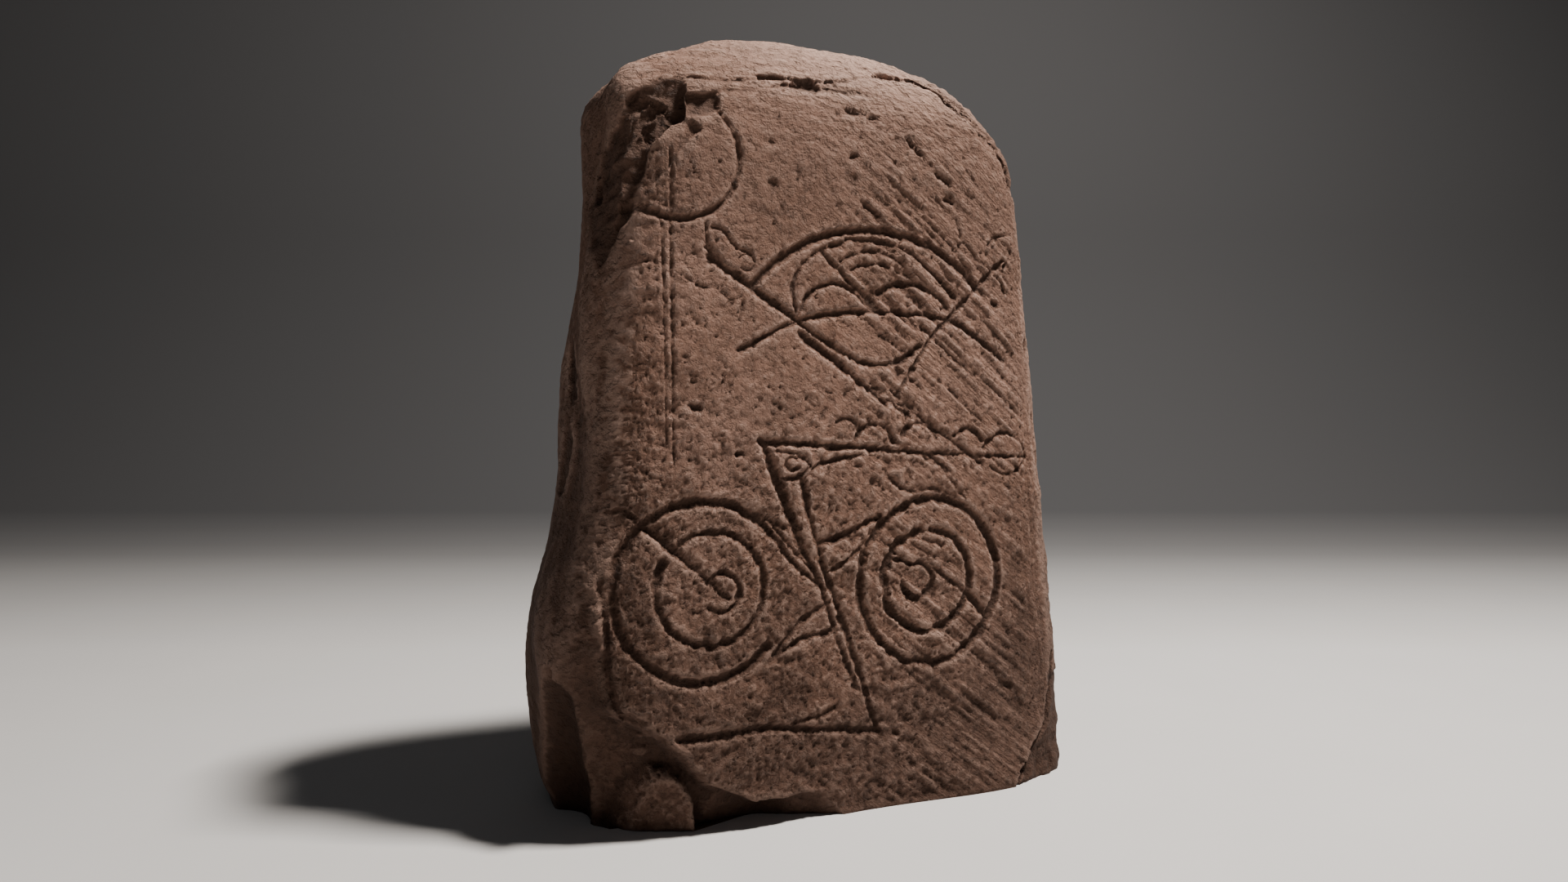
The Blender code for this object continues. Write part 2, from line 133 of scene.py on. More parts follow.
def section(height):
    """Middle and half sizes of the section at a height: middle x, half width, middle y, half depth."""
    left, right = -reach(height, 1), reach(height, 2)
    front = FACE_Y + height * math.tan(FACE_LEAN)
    back = FACE_Y + THICKNESS - BACK_TAPER / HEIGHT * height
    return (left + right) / 2, (right - left) / 2, (front + back) / 2, (back - front) / 2


def slab_skin(bearing, height):
    """Points of the solid's uncut skin at bearings around its middle and at heights."""
    middle, width, centre, depth = section(height)
    c, s = np.cos(bearing), np.sin(bearing)
    power = np.where(s > 0, BACK_CORNER, np.where(c < 0, LEFT_CORNER, RIGHT_CORNER))
    size = dome(height)
    radius = (np.abs(c / width) ** power + np.abs(s / depth) ** power) ** (-1.0 / power) * size
    x, y = middle + radius * c, centre + radius * s
    plain = blend(SWELL_FROM, SWELL_FULL, s * radius / (depth * np.maximum(size, 1e-6)))
    swell = np.sin(x / SWELL_ACROSS + height / SWELL_UP)
    swell += np.sin(y / SWELL_BACK - height / SWELL_DOWN + 1.0)
    radius = radius + plain * size * SIDE_SWELL * swell * blend(0.0, SWELL_RISE, height)
    x, y = middle + radius * c, centre + radius * s
    step = FOOT_BULGE * blend(0.0, FOOT_REACH, x) * blend(FOOT_HEIGHT, 0.0, height)
    return x, y - np.where(s < 0, step, 0.0), np.broadcast_to(height, x.shape).copy()


def column_bearings():
    """Bearings of the columns: even steps along a box around the section, finest on the face."""
    wide = max(left + right for _, left, right in LEVELS) / 2
    deep = THICKNESS / 2
    corners = ((-wide, -deep), (wide, -deep), (wide, deep), (-wide, deep))
    counts = (FRONT_COLUMNS, SIDE_COLUMNS, BACK_COLUMNS, SIDE_COLUMNS)
    bearings = []
    for i, count in enumerate(counts):
        (x0, y0), (x1, y1) = corners[i], corners[(i + 1) % 4]
        for step in range(count):
            t = step / count
            bearings.append(math.atan2(y0 + (y1 - y0) * t, x0 + (x1 - x0) * t))
    return np.array(bearings)


def row_heights():
    """Heights of the rows from the underside up, without the very top."""
    upright = [SHOULDER * i / UPRIGHT_ROWS for i in range(UPRIGHT_ROWS)]
    turns = [math.pi / 2 * i / DOME_ROWS for i in range(DOME_ROWS)]
    rise = HEIGHT - SHOULDER
    return np.array(upright + [SHOULDER + rise * math.sin(t) ** (2 / DOME_POWER) for t in turns])


# Noise


def lattice(ix, iy, iz, seed):
    """Repeatable random value from 0 to 1 at whole-number places."""
    h = ix * 374761393 + iy * 668265263 + iz * 1442695041 + seed * 1274126177
    h = h.astype(np.uint32)
    h = (h ^ (h >> np.uint32(13))) * np.uint32(1274126177)
    h = (h ^ (h >> np.uint32(16))) * np.uint32(2246822519)
    h = h ^ (h >> np.uint32(13))
    return h.astype(np.float64) / 4294967295.0


def noise(x, y, z, size, seed):
    """Smooth value noise from -1 to 1 with bumps of about the given size."""
    cells = []
    for axis in (x, y, z):
        place = axis / size
        whole = np.floor(place)
        t = place - whole
        cells.append((whole.astype(np.int64), t * t * t * (t * (t * 6 - 15) + 10)))
    (ix, tx), (iy, ty), (iz, tz) = cells
    total = 0.0
    for dx, dy, dz in np.ndindex(2, 2, 2):
        share = (tx if dx else 1 - tx) * (ty if dy else 1 - ty) * (tz if dz else 1 - tz)
        total = total + share * lattice(ix + dx, iy + dy, iz + dz, seed)
    return total * 2 - 1


def fractal(x, y, z, size, seed, octaves=4, rough=0.5):
    """Noise with finer and finer bumps added, about -1 to 1: size of the widest, and its seed."""
    total, share, sum_of_shares = 0.0, 1.0, 0.0
    for octave in range(octaves):
        total = total + share * noise(x, y, z, size / 2.0**octave, seed + SEED_STEP * octave)
        sum_of_shares += share
        share *= rough
    return total / sum_of_shares * NOISE_SPREAD


# Paths of the strokes on the face, in centimetres


def arc(x, z, radius, start, sweep):
    """Part of a circle: angles in degrees from the right, turning towards the top."""
    count = max(6, math.ceil(abs(sweep) / 5))
    angles = [math.radians(start + sweep * i / count) for i in range(count + 1)]
    return [(x + radius * math.cos(a), z + radius * math.sin(a)) for a in angles]


def bow(x0, z0, x1, z1, rise):
    """Shallow arc between two places, which bulges by its rise to the left of its run."""
    chord = math.hypot(x1 - x0, z1 - z0)
    radius = (chord * chord / 4 + rise * rise) / (2 * abs(rise))
    half = math.asin(min(1.0, chord / 2 / radius))
    count = max(6, math.ceil(chord))
    along = ((x1 - x0) / chord, (z1 - z0) / chord)
    side = math.copysign(1.0, rise)
    path = []
    for i in range(count + 1):
        angle = half * (2 * i / count - 1)
        run = chord / 2 + radius * math.sin(angle)
        lift = side * (radius * math.cos(angle) - radius + abs(rise))
        path.append((x0 + run * along[0] - lift * along[1], z0 + run * along[1] + lift * along[0]))
    return path


def line(x0, z0, x1, z1):
    """Straight stroke."""
    return [(x0, z0), (x1, z1)]


def curve(*numbers):
    """Smooth stroke through places that are given as X and Z in turn."""
    points = np.array(numbers, float).reshape(-1, 2)
    points = np.vstack([2 * points[0] - points[1], points, 2 * points[-1] - points[-2]])
    path = []
    for a, b, c, d in zip(points, points[1:], points[2:], points[3:]):
        count = max(3, math.ceil(np.hypot(*(c - b))))
        for i in range(count):
            t = i / count
            place = b + (c - a) * t / 2
            place = place + (2 * a - 5 * b + 4 * c - d) * t * t / 2
            path.append(place + (3 * b - a - 3 * c + d) * t**3 / 2)
    return path + [points[-2]]


# Strokes of each symbol: path, then width at its start and at its end in millimetres. A path of
# plain numbers is a smooth one, through places that are given as X and Z in turn.
MIRROR = (
    (arc(-28, 103.3, 9.5, -125, 172), 11, 9),
    (line(-29, 104, -29.4, 85), 6, 7),
    (line(-29.4, 85, -29.5, 57), 6, 4),
    (line(-30.6, 93.5, -30.5, 60), 4.5, 3.5),
)
CRESCENT = (
    (bow(-16.5, 84.3, 25, 85.4, 9), 15, 13),
    ((-9.2, 80, -9.9, 84.5, -6.6, 89.2, 0.5, 92.3), 7, 9),
    ((0.5, 92.3, 9, 91.6, 15.5, 87.9, 20.4, 83.8), 7, 8),
    (bow(-1.3, 88.7, 10.4, 88.5, 1.9), 7, 7),
    (bow(0, 87, 10, 87, 1.5), 5, 5),
    ((-1.3, 86.6, 1, 84.9, 4, 81.7), 6, 9),
    ((-8.9, 79.6, -7.2, 83, -3, 85.1, 0.4, 84.2, 3, 82.2), 9, 10),
    (bow(5.7, 83.9, 18.8, 82.1, 2.5), 10, 11),
    ((-19, 74.2, -9.5, 78.7, 0.5, 80.6, 10.5, 80.8), 11, 10),
    ((10.5, 80.8, 19.5, 79.7, 31, 73.4), 10, 8),
    ((-8.5, 78.4, -3, 75.1, 1.5, 72.7), 11, 10),
    ((1.5, 72.7, 6, 72.1, 9.8, 73, 13.5, 75.4), 10, 10),
)
V_ROD = (
    (line(-23.4, 88.1, -16.9, 83.8), 15, 13),
    (line(-16.9, 83.8, -8.6, 78.6), 13, 13),
    (line(-8.4, 76.9, 6.8, 65.7), 15, 11),
    ((31, 90.6, 25.9, 86.3, 20.4, 81.3, 15.7, 77), 8, 10),
    ((15.7, 77, 12, 71.8, 8.6, 66.9), 9, 8),
    (line(-24, 93.3, -23.8, 90.1), 6, 5),
    ((-23, 92.7, -21.1, 92.1, -19.2, 89.5), 7, 8),
    (bow(-19.2, 89.2, -16.5, 87.5, 0.9), 6, 6),
    (arc(-17.7, 87.6, 1.25, 150, -290), 4, 4),
    ((27.8, 93, 29.6, 94.6, 33.1, 95.2), 7, 6),
    ((33.1, 95.2, 32.9, 91.6, 31.3, 89.4), 5, 6),
    ((28.1, 88.3, 30.5, 86.8, 31.6, 84.9), 5, 6),
)
LEFT_DISC = (
    (arc(-25.2, 37.5, 13.7, 44, 275), 16, 15),
    (arc(-24, 37.9, 8.6, 150, 335), 14, 10),
    (arc(-22.4, 37.2, 2.9, -130, 270), 10, 10),
    (line(-34.6, 47.5, -21.3, 36.3), 9, 7),
    ((-39.5, 49.8, -37, 50.1, -34.8, 48.4), 8, 9),
)
RIGHT_DISC = (
    (arc(15, 36.5, 13.6, 100, 360), 16, 16),
    (arc(14.3, 36.6, 8.4, 100, 345), 15, 14),
    (arc(12.3, 36.6, 2.8, 100, -280), 11, 9),
    ((7.4, 40.6, 10, 39.9, 12, 39.4), 7, 10),
    (line(15.6, 38.4, 21.6, 34.3), 8, 8),
    (line(22.6, 33.4, 25.8, 29.8), 15, 11),
)
WAIST = (
    ((-6.2, 44, -2.3, 44.5, 1, 45.9, 5.2, 47.6), 13, 10),
    ((-4, 39.2, -1, 40.8, 2, 43.2, 3.5, 45.3), 10, 8),
    (line(-17, 49, -11, 46.2), 9, 9),
    ((-13.5, 46.7, -10.3, 43, -8, 40.6), 7, 7),
    ((-17.2, 48.6, -13.3, 44.8, -10.4, 41, -4.6, 36.2), 13, 7),
    ((-13.9, 26.8, -10, 31.2, -4, 34.5), 11, 10),
    ((-13.8, 26.9, -8.8, 29.1, -4, 29.6), 9, 10),
)
Z_ROD = (
    ((-15.8, 60.1, -7, 59.5, 2, 58.8), 15, 12),
    ((2, 58.8, 16.2, 57.6, 35.8, 56.4), 12, 6),
    ((-15.2, 59.8, -13, 54.7, -11.3, 49.8, -9.3, 43.9), 18, 15),
    ((-9.3, 43.9, -6.1, 38.1, -2.6, 28.1, 0.4, 20.7), 12, 7),
    ((-8.5, 53.8, -7.6, 48.5, -6, 43, -4, 37), 13, 11),
    ((-4, 37, -0.8, 28.1, 1.8, 20.7, 4.3, 13), 11, 9),
    ((4.6, 12.6, -6.2, 14.3, -16.2, 15.6, -29.3, 15.3), 11, 15),
    ((-3.1, 17.5, -6, 16.4, -11, 15.9), 8, 9),
    ((-8.5, 53.8, -6, 56.1, -2.7, 57, 2, 57.7), 9, 9),
    (arc(-10.2, 56.6, 1, 60, 270), 9, 8),
    ((-12.7, 58.7, -9.2, 57.9, -7.2, 56.2, -8.6, 54.8), 8, 8),
    (bow(-12.8, 54.6, -8, 55.3, -0.7), 11, 9),
    (bow(26, 58.4, 35.8, 56.6, 3.3), 10, 6),
    (bow(27.5, 55.2, 35.8, 56.4, -2.2), 6, 5),
    (bow(0.8, 60, 8, 59.6, 2.8), 8, 9),
    (bow(9.6, 60.6, 16.2, 60.2, 2.3), 9, 9),
    (bow(19.8, 60.3, 25.6, 59.6, 1.6), 8, 8),
    (bow(-2.4, 62.9, 1, 62.8, 0.7), 6, 6),
)
EDGE_CRACKS = (
    ((-25.6, 115.7, -19, 115.9, -11, 117.2, -2.6, 117.4, 4, 119.2), 7, 8),
    ((4, 119.2, 7.9, 120.2, 15.2, 120.6, 18.4, 120, 22, 117.5), 6, 12),
    ((22, 117.5, 25.2, 115.2, 28.1, 112, 32, 109, 34.3, 104), 12, 8),
    ((-12, 115.4, -6, 116.6, 2, 116.2), 8, 5),
    ((-26.2, 113.7, -20.5, 113.9, -14.5, 115), 5, 3),
)
SYMBOLS = (MIRROR, CRESCENT, V_ROD, LEFT_DISC, RIGHT_DISC, WAIST, Z_ROD, EDGE_CRACKS)

# Scratches and gouges that later ploughing left: path, widths and depth as a share of the width
SCRATCHES = (
    ((1.6, 113.6, 11.4, 111.9, 22, 109.2), 4, 5, 0.25),
    ((2.5, 98.4, 5, 96.9, 8.6, 95.2), 6, 4, 0.28),
    (line(21, 96.9, 21.7, 93.8), 4, 5, 0.4),
    (line(21.4, 92.6, 20.6, 89.8), 5, 5, 0.4),
    (line(20.4, 89.6, 22.4, 88), 5, 5, 0.4),
    ((22.4, 93, 25.6, 90.2, 28.6, 88.6), 4, 6, 0.35),
    ((7, 99.5, 10.4, 97.4, 13.2, 96.2), 3, 4, 0.4),
    ((5.6, 108, 12, 103.2, 19.5, 98), 5, 5, 0.22),
    ((8.6, 110.2, 15, 106, 24.4, 100.6), 4, 5, 0.2),
    ((18.6, 108.8, 22, 106.4, 26, 102.4), 5, 4, 0.3),
    ((14.3, 96.8, 19.6, 92.4, 23, 88.6, 26.5, 84.4), 6, 9, 0.3),
    ((9, 99.5, 14, 95.2, 18, 91.8), 4, 6, 0.25),
    ((-4.8, 90, -1.5, 87, 0.6, 85.2, 5.6, 81.7), 9, 12, 0.32),
    ((4.8, 92.4, 9, 90.2, 14.5, 86, 18.8, 82.6), 5, 8, 0.3),
    ((8, 88.6, 12, 86.2, 16.8, 83.4), 6, 6, 0.25),
    ((3, 79.6, 7.5, 76, 12.1, 73.2), 5, 7, 0.28),
    ((13.8, 78.6, 18.6, 74.6, 24, 70.4), 8, 6, 0.3),
    ((10.4, 74.6, 14.6, 71.2, 19.6, 67.8, 25.5, 63), 6, 6, 0.25),
    ((4.3, 68.4, 11.2, 63.8, 18.4, 60, 25.6, 55.6), 9, 11, 0.34),
    ((7.4, 68.2, 12, 64.6, 16.6, 60.9), 8, 8, 0.34),
    ((1.9, 64.1, 5.8, 61.4, 10.1, 58.7, 18.3, 54.9), 8, 7, 0.3),
    ((6.1, 55, 8.6, 52.6, 11.9, 51.2, 15.4, 51.8, 20.1, 50.2), 9, 9, 0.3),
    ((14.6, 57.6, 18, 54.4, 22, 49.9), 9, 6, 0.32),
    ((28, 53.5, 30, 52, 33.5, 49.8), 6, 4, 0.3),
    ((7, 47, 11.5, 44, 17.5, 42.2), 9, 7, 0.26),
    ((9.6, 44, 13.5, 41.5, 20.4, 38.8), 6, 8, 0.26),
    ((9.6, 22.5, 13.8, 18.6, 17.8, 15), 8, 7, 0.25),
    ((4.9, 14.6, 9.7, 10.6, 15.7, 6.6), 5, 6, 0.22),
    ((-5.4, 13.6, -1.5, 10.8, 2.4, 8), 5, 4, 0.25),
    ((-36, 89.4, -31.5, 86.8, -27.5, 86.9), 5, 4, 0.2),
    ((-27.5, 85.2, -25.4, 83.7, -23.1, 83.6), 5, 4, 0.3),
    ((-21.9, 83, -20.3, 81.9, -18.5, 82.3), 5, 4, 0.3),
    (arc(-26.2, 87.4, 1.1, 30, 320), 4, 4, 0.25),
    ((-18.3, 81.7, -18.8, 79.6, -19.2, 77), 6, 4, 0.3),
)

# Slopes that rise to one side of a crisp edge: edge, which side rises (1 is left of its run),
# width in centimetres at its start and end, and depth at its start and end
RAMPS = (
    ((-34.9, 47.8), (-20.9, 36), 1, 3.4, 0.6, 0.95, 0.35),
    ((-24.4, 89.6), (-17.4, 84), 1, 1.3, 0.8, 0.6, 0.4),
    ((3.6, 69.2), (20.5, 58.8), 1, 1.6, 1.4, 0.45, 0.35),
    ((8.6, 72.2), (15, 67.4), -1, 1.5, 1, 0.4, 0.2),
)

# Hollows: place on the face, half width, half height, tilt in degrees and depth
HOLLOWS = (
    (4.3, 82.4, 1.7, 2.2, 20, 1), (-26.3, 65.4, 1.3, 0.7, 0, 0.9),
    (-19.3, 58.1, 0.9, 0.6, 0, 0.8), (13, 108, 2.6, 0.42, -42, 1.4),
    (18.1, 103.4, 2.1, 0.38, -28, 1.4), (19.3, 99.7, 1.1, 0.38, -10, 0.8),
    (1.2, 105.3, 1.2, 0.5, 18, 1), (1.2, 102, 1, 0.9, -50, 0.5),
    (4.2, 97.2, 2.3, 0.34, -35, 0.8), (-12.9, 99.9, 1.1, 0.8, 0, 0.7),
    (-13, 106.3, 0.7, 0.6, 0, 0.7), (5.9, 112.4, 1.5, 0.4, 0, 0.8),
    (29.2, 83, 1.3, 0.7, -10, 0.9), (0.4, 20.3, 1.1, 0.7, -35, 0.7),
    (-3, 35.2, 1.6, 1, -40, 0.6), (31, 17, 1.2, 0.6, -20, 0.6),
)

# Chips and scoops: centre, direction, half length, half width and depth
CHIPS = (
    ((-11.6, -13.3, 117.2), (1, 0, -0.05), 3.2, 0.5, 0.45),
    ((-6, -13.8, 116.4), (1, 0, 0.02), 3.4, 1.4, 0.75),
    ((0.8, -13.8, 116.5), (1, 0, 0), 5, 1, 0.4),
    ((11.3, -10.9, 120.5), (1, 0, -0.1), 3.8, 0.6, 0.6),
    ((17.7, -11, 120.3), (1, 0, -0.3), 3.4, 0.8, 0.7),
    ((23.3, -12.2, 116.8), (0.8, 0, -0.6), 3.8, 1.9, 0.7),
    ((28.9, -12.8, 113), (0.65, 0, -0.76), 3, 1.9, 0.6),
    ((31.9, -13.2, 109.4), (0.5, 0, -0.86), 2.6, 1.3, 0.5),
    ((33.4, -13.4, 105.4), (0.3, 0, -0.95), 2.4, 0.9, 0.4),
    ((2.5, -14, 112.5), (1, 0, -0.2), 2.2, 0.7, 0.5),
    ((-40.2, 1.4, 71.5), (0, 0.25, 1), 6.4, 2.4, 0.55),
    ((-41.8, 2.2, 56.5), (0, -0.15, 1), 6.6, 2.6, 0.6),
    ((-38.6, -3.6, 99.6), (0, 0.5, 0.9), 3.4, 0.9, 0.8),
    ((36.4, -14, 90), (0, 0, 1), 4.5, 0.8, 0.6),
    ((37.6, -14.2, 76), (0, 0, 1), 2.2, 0.8, 0.7),
    ((39, -14, 62.5), (0, 0, 1), 2.6, 0.7, 0.6),
    ((40.4, -14.6, 55), (0, 0, 1), 3, 0.8, 0.5),
    ((44, -15, 31), (0, 0, 1), 1.6, 0.8, 0.7),
    ((-34, -13, 12.9), (1, 0, 0.2), 1.6, 1, -0.45),
)

# Outer edge of the scar on the left flank: height and y
SCAR_EDGE = (
    (80, -14), (84, -9), (88, -5), (92, -2), (97, 0), (101.7, -1.6),
    (104.7, -3.4), (106.7, -7.7), (107.8, -10.3), (109.2, -11.4), (110.8, -12), (113.2, -12.7),
    (114.8, -13.2), (115.8, -13.9), (117, -15.5), (120, -20),
)

# Thin spall beside the scar, one step down from the face
SPALL = (
    (-28.9, 108.4), (-26.2, 109.2), (-24.2, 107.6), (-26.4, 105.7), (-28.2, 103.6),
    (-28.8, 101.7), (-31.5, 99.1), (-32.4, 97.5), (-34.6, 94), (-34, 98), (-32, 104),
)

# Lower left corner: groove between it and the face, ragged ridge beside the groove, and mound
CORNER_GROOVE = curve(-40.6, 42, -40.2, 35, -39.6, 29.5, -38.9, 23.5, -37.8, 20, -34.6, 18.2)
CORNER_RIDGE = curve(-41.6, 44, -41.4, 38, -41, 32, -40.4, 26.5, -39.3, 22, -37.2, 18, -34, 16)
MOUND = (
    (-39.5, -3), (-38, 3), (-36, 8.5), (-32.8, 11.4), (-30, 11), (-27.6, 8.6),
    (-25.6, 5.2), (-25, 0), (-25, -3),
)
MOUND_RISE = 3.3

# Height where the floor of the notch steps forward, crack above the lower right corner, and strip
# of broken facets along the right shoulder
NOTCH_EDGE = 113.2
RIGHT_CRACK = curve(42.6, 21, 41.6, 16, 39.8, 9.8, 36.5, 6.2, 33.2, 2.9, 30.5, -1)
SHOULDER_STRIP = (
    (14, 120.8), (18.4, 120.1), (22, 117.7), (25.2, 115.4), (28.1, 112.2), (32, 109.2),
    (34.5, 103), (40, 100), (42, 112), (30, 128), (14, 128),
)

# Outlines of the breaks, and their floors: depth behind the foot of the face, and slopes along it
# and up it
TOP_SCAR = (
    (-25.9, 118), (-26.4, 113.5), (-27, 108.6), (-28.9, 108.2), (-31.7, 104.7), (-33.2, 99),
    (-34.6, 94), (-37.2, 89.3), (-40, 83.8), (-48, 80), (-48, 119),
)
TOP_SCAR_FLOOR = (18.7, -0.05, -0.12)
TOP_NOTCH = ((-26.9, 109.2), (-26.3, 116.2), (-21.2, 114.2), (-21.4, 110.7), (-23, 110))
TOP_NOTCH_FLOOR = (-29.9, -0.15, 0.29)
LEFT_FOOT = (
    (-60, 50), (-43, 43), (-39.9, 34.5), (-38.7, 20.5), (-30.9, 15.7), (-24.6, 8.1),
    (-17.2, 4.2), (-9.2, 5), (-5, 4.5), (-3.5, -3), (-60, -3),
)
LEFT_FOOT_FLOOR = (-5.4, -0.48, -0.305)
FOOT_POCKET = ((-24.6, 8), (-17.2, 4.1), (-9.3, 4.9), (-5.1, 4.4), (0.5, -3), (-25, -3))
FOOT_POCKET_FLOORS = ((6.6, 0, -0.5), (-0.45, -0.47, -0.5))
RIGHT_BREAK = (
    (60, 18), (41.7, 17), (39.6, 9.5), (36.5, 6), (33.2, 2.9), (29.9, -3), (60, -3),
)
RIGHT_BREAK_FLOOR = (-11.6, 0.35, -0.1)

# Worn slot up the left flank: x, depth behind the foot of the face, height and radius
FLANK_SLOT = (
    (-45.1, 16.4, -2, 5.8),
    (-45.4, 15.1, 6, 5.8),
    (-46.2, 13.8, 12, 5.2),
    (-46.8, 12.3, 18, 4.6),
    (-46.5, 10.9, 22, 3.3),
    (-46.2, 11.2, 24.8, 1.6),
)

# How far a normal has to point one way for its place to count as that side
FRONT_FACING = (0.15, 0.75)
SIDE_FACING = (0.3, 0.85)
TOP_FACING = (0.35, 0.8)
NOT_BACK = 0.1

# Swell of the stone: heights of its wide and its closer waves, and how far all is worn back
WIDE_WAVES, CLOSE_WAVES = 0.28, 0.17
WORN_BACK = 0.12

# Strokes: depth as a share of the width, half width with its worn rims, power of the section,
# wander, and how uneven and beaded the floor is
STROKE_SHARE = 0.50
STROKE_HALF = 0.62
STROKE_POWER = 1.4
STROKE_WANDER = 0.20
STROKE_UNEVEN, STROKE_BEADS = 0.22, 0.65
SCRATCH_SCALE, SCRATCH_UNEVEN = 1.15, 0.55
HOLLOW_SHARE = 0.6
MM_IN_CM = 10
RAMP_EDGE = 0.22
RAMP_POWER = 1.3

# Breaks: wander, depths of the right crack, the spall, the scar's crumbled floor and the
# shoulder's facets, and wobble, wall and reach of the chips
BREAK_WANDER = 0.45
CRACK_DEPTH = 1.4
SPALL_DEPTH = 0.55
CRUMBLED = 0.35
FACET_DEPTH = 0.35
CHIP_WOBBLE, CHIP_WALL, CHIP_REACH = 0.25, 1.4, 3.0

# Streaks: leans in degrees, widths and strengths, how much longer and thicker than wide they are,
# and how hollow
PLOUGHED_LEAN, COMBED_LEAN = -38, -80
PLOUGHED_WIDE, PLOUGHED_FINE = ((2.6, 0.15),), ((1.2, 0.18), (0.7, 0.14))
COMBED = ((1.6, 0.13), (0.8, 0.15))
STREAK_LENGTH, STREAK_THICKNESS = 9.0, 3.0
STREAK_HOLLOW = 0.9

# Pits: lowest and highest, stretch, reach, rough steps of the grid, and for each kind its seed,
# number, columns, radii and depth as a share of the radius
PIT_HEIGHTS = (2, 118)
PIT_STRETCH = (0.6, 1.7)
PIT_REACH = 1.8
ROW_STEP, COLUMN_STEP = 0.17, 0.15
PITS = (
    (51, 2400, FRONT_COLUMNS, (0.16, 0.42), 0.70),
    (52, 700, FRONT_COLUMNS + 2 * SIDE_COLUMNS + BACK_COLUMNS, (0.25, 0.65), 0.35),
)

# Surroundings, near and wide: steps of the grid, and the depth below them that counts in full
SURROUNDINGS = ((4, 0.14), (14, 0.45))


def ramp_depths(x, z):
    """Depth of the slopes that end in a crisp edge."""
    total = np.zeros(x.shape)
    for (x0, z0), (x1, z1), side, wide0, wide1, deep0, deep1 in RAMPS:
        length = math.hypot(x1 - x0, z1 - z0)
        ux, uz = (x1 - x0) / length, (z1 - z0) / length
        along = (x - x0) * ux + (z - z0) * uz
        share = clamped(along / length)
        across = side * ((z - z0) * ux - (x - x0) * uz)
        wide = wide0 + (wide1 - wide0) * share
        deep = deep0 + (deep1 - deep0) * share
        slope = clamped(1.0 - across / wide) ** RAMP_POWER
        rise = np.where(across < 0, 1.0 + across / RAMP_EDGE, slope)
        ends = blend(-0.5, 0.3, along) * blend(length + 0.5, length - 0.3, along)
        total = np.maximum(total, deep * clamped(rise) * ends)
    return total


def chip(x, y, z, normal, place, wobble):
    """Depth of one chip, along the surface's normals."""
    centre, direction, half_length, half_width, depth = place
    offset = np.stack([x - centre[0], y - centre[1], z - centre[2]], -1)
    along = np.array(direction) / np.linalg.norm(direction)
    off_plane = (offset * normal).sum(-1)
    u = (offset * along).sum(-1)
    v = np.sqrt(np.maximum((offset**2).sum(-1) - off_plane**2 - u**2, 0.0))
    t = np.hypot(u / half_length, v / half_width) + CHIP_WOBBLE * wobble
    scoop = clamped(CHIP_WALL - CHIP_WALL * np.clip(t, 0, None) ** 2)
    return np.where(np.abs(off_plane) < CHIP_REACH, depth * scoop, 0.0)


def to_segment(x, z, start, end, length):
    """Run along a segment to the point nearest to each place, and the distance from there."""
    (x0, z0), (ux, uz) = start, (end - start) / length
    run = np.clip((x - x0) * ux + (z - z0) * uz, 0.0, length)
    return run, np.hypot(x - x0 - run * ux, z - z0 - run * uz)


def near_path(path, x, z, widths=(1.0, 1.0)):
    """Distance of places to a path and the width of the stroke there."""
    points = np.array(path, float)
    lengths = np.hypot(*np.diff(points, axis=0).T)
    run = np.concatenate([[0.0], np.cumsum(lengths)]) / lengths.sum()
    nearest = np.full(x.shape, np.inf)
    width = np.zeros(x.shape)
    for i, length in enumerate(lengths):
        t, away = to_segment(x, z, points[i], points[i + 1], length)
        closer = away < nearest
        share = run[i] + (run[i + 1] - run[i]) * t / length
        width = np.where(closer, widths[0] + (widths[1] - widths[0]) * share, width)
        nearest = np.where(closer, away, nearest)
    return nearest, width


def inside_distance(outline, x, z, wander, share=1.0):
    """Distance to an outline that wanders, positive inside it and negative outside."""
    x, z = x + share * wander[0], z + share * wander[1]
    points = np.array(outline, float)
    away = np.full(x.shape, np.inf)
    inside = np.zeros(x.shape, bool)
    for start, end in zip(points, np.roll(points, -1, axis=0)):
        (x0, z0), (x1, z1) = start, end
        _, near = to_segment(x, z, start, end, math.hypot(x1 - x0, z1 - z0))
        away = np.minimum(away, near)
        if z0 != z1:
            crosses = (z0 > z) != (z1 > z)
            inside ^= crosses & (x < x0 + (z - z0) / (z1 - z0) * (x1 - x0))
    return np.where(inside, away, -away)


def normals_of(x, y, z):
    """Unit normals of the closed grid, from the differences between its neighbours."""
    points = np.stack([x, y, z], axis=-1)
    across = np.roll(points, -1, axis=1) - np.roll(points, 1, axis=1)
    normal = np.cross(across, np.gradient(points, axis=0))
    return normal / np.maximum(np.linalg.norm(normal, axis=-1, keepdims=True), 1e-9)


def stroke_depths(strokes, x, z, warp_x, warp_z):
    """Depth that the strokes take out of the face, the deepest counting."""
    depth = np.zeros(x.shape)
    for path, start, end, share in strokes:
        path = curve(*path) if isinstance(path, tuple) else path
        points = np.array(path, float)
        margin = max(start, end) / MM_IN_CM
        low, high = points.min(0) - margin, points.max(0) + margin
        close = np.nonzero((x > low[0]) & (x < high[0]) & (z > low[1]) & (z < high[1]))
        if not len(close[0]):
            continue
        widths = (start / MM_IN_CM, end / MM_IN_CM)
        near, width = near_path(path, x[close] + warp_x[close], z[close] + warp_z[close], widths)
        t = clamped(near / (width * STROKE_HALF))
        depth[close] = np.maximum(depth[close], width * share * (1 - t**STROKE_POWER))
    return depth


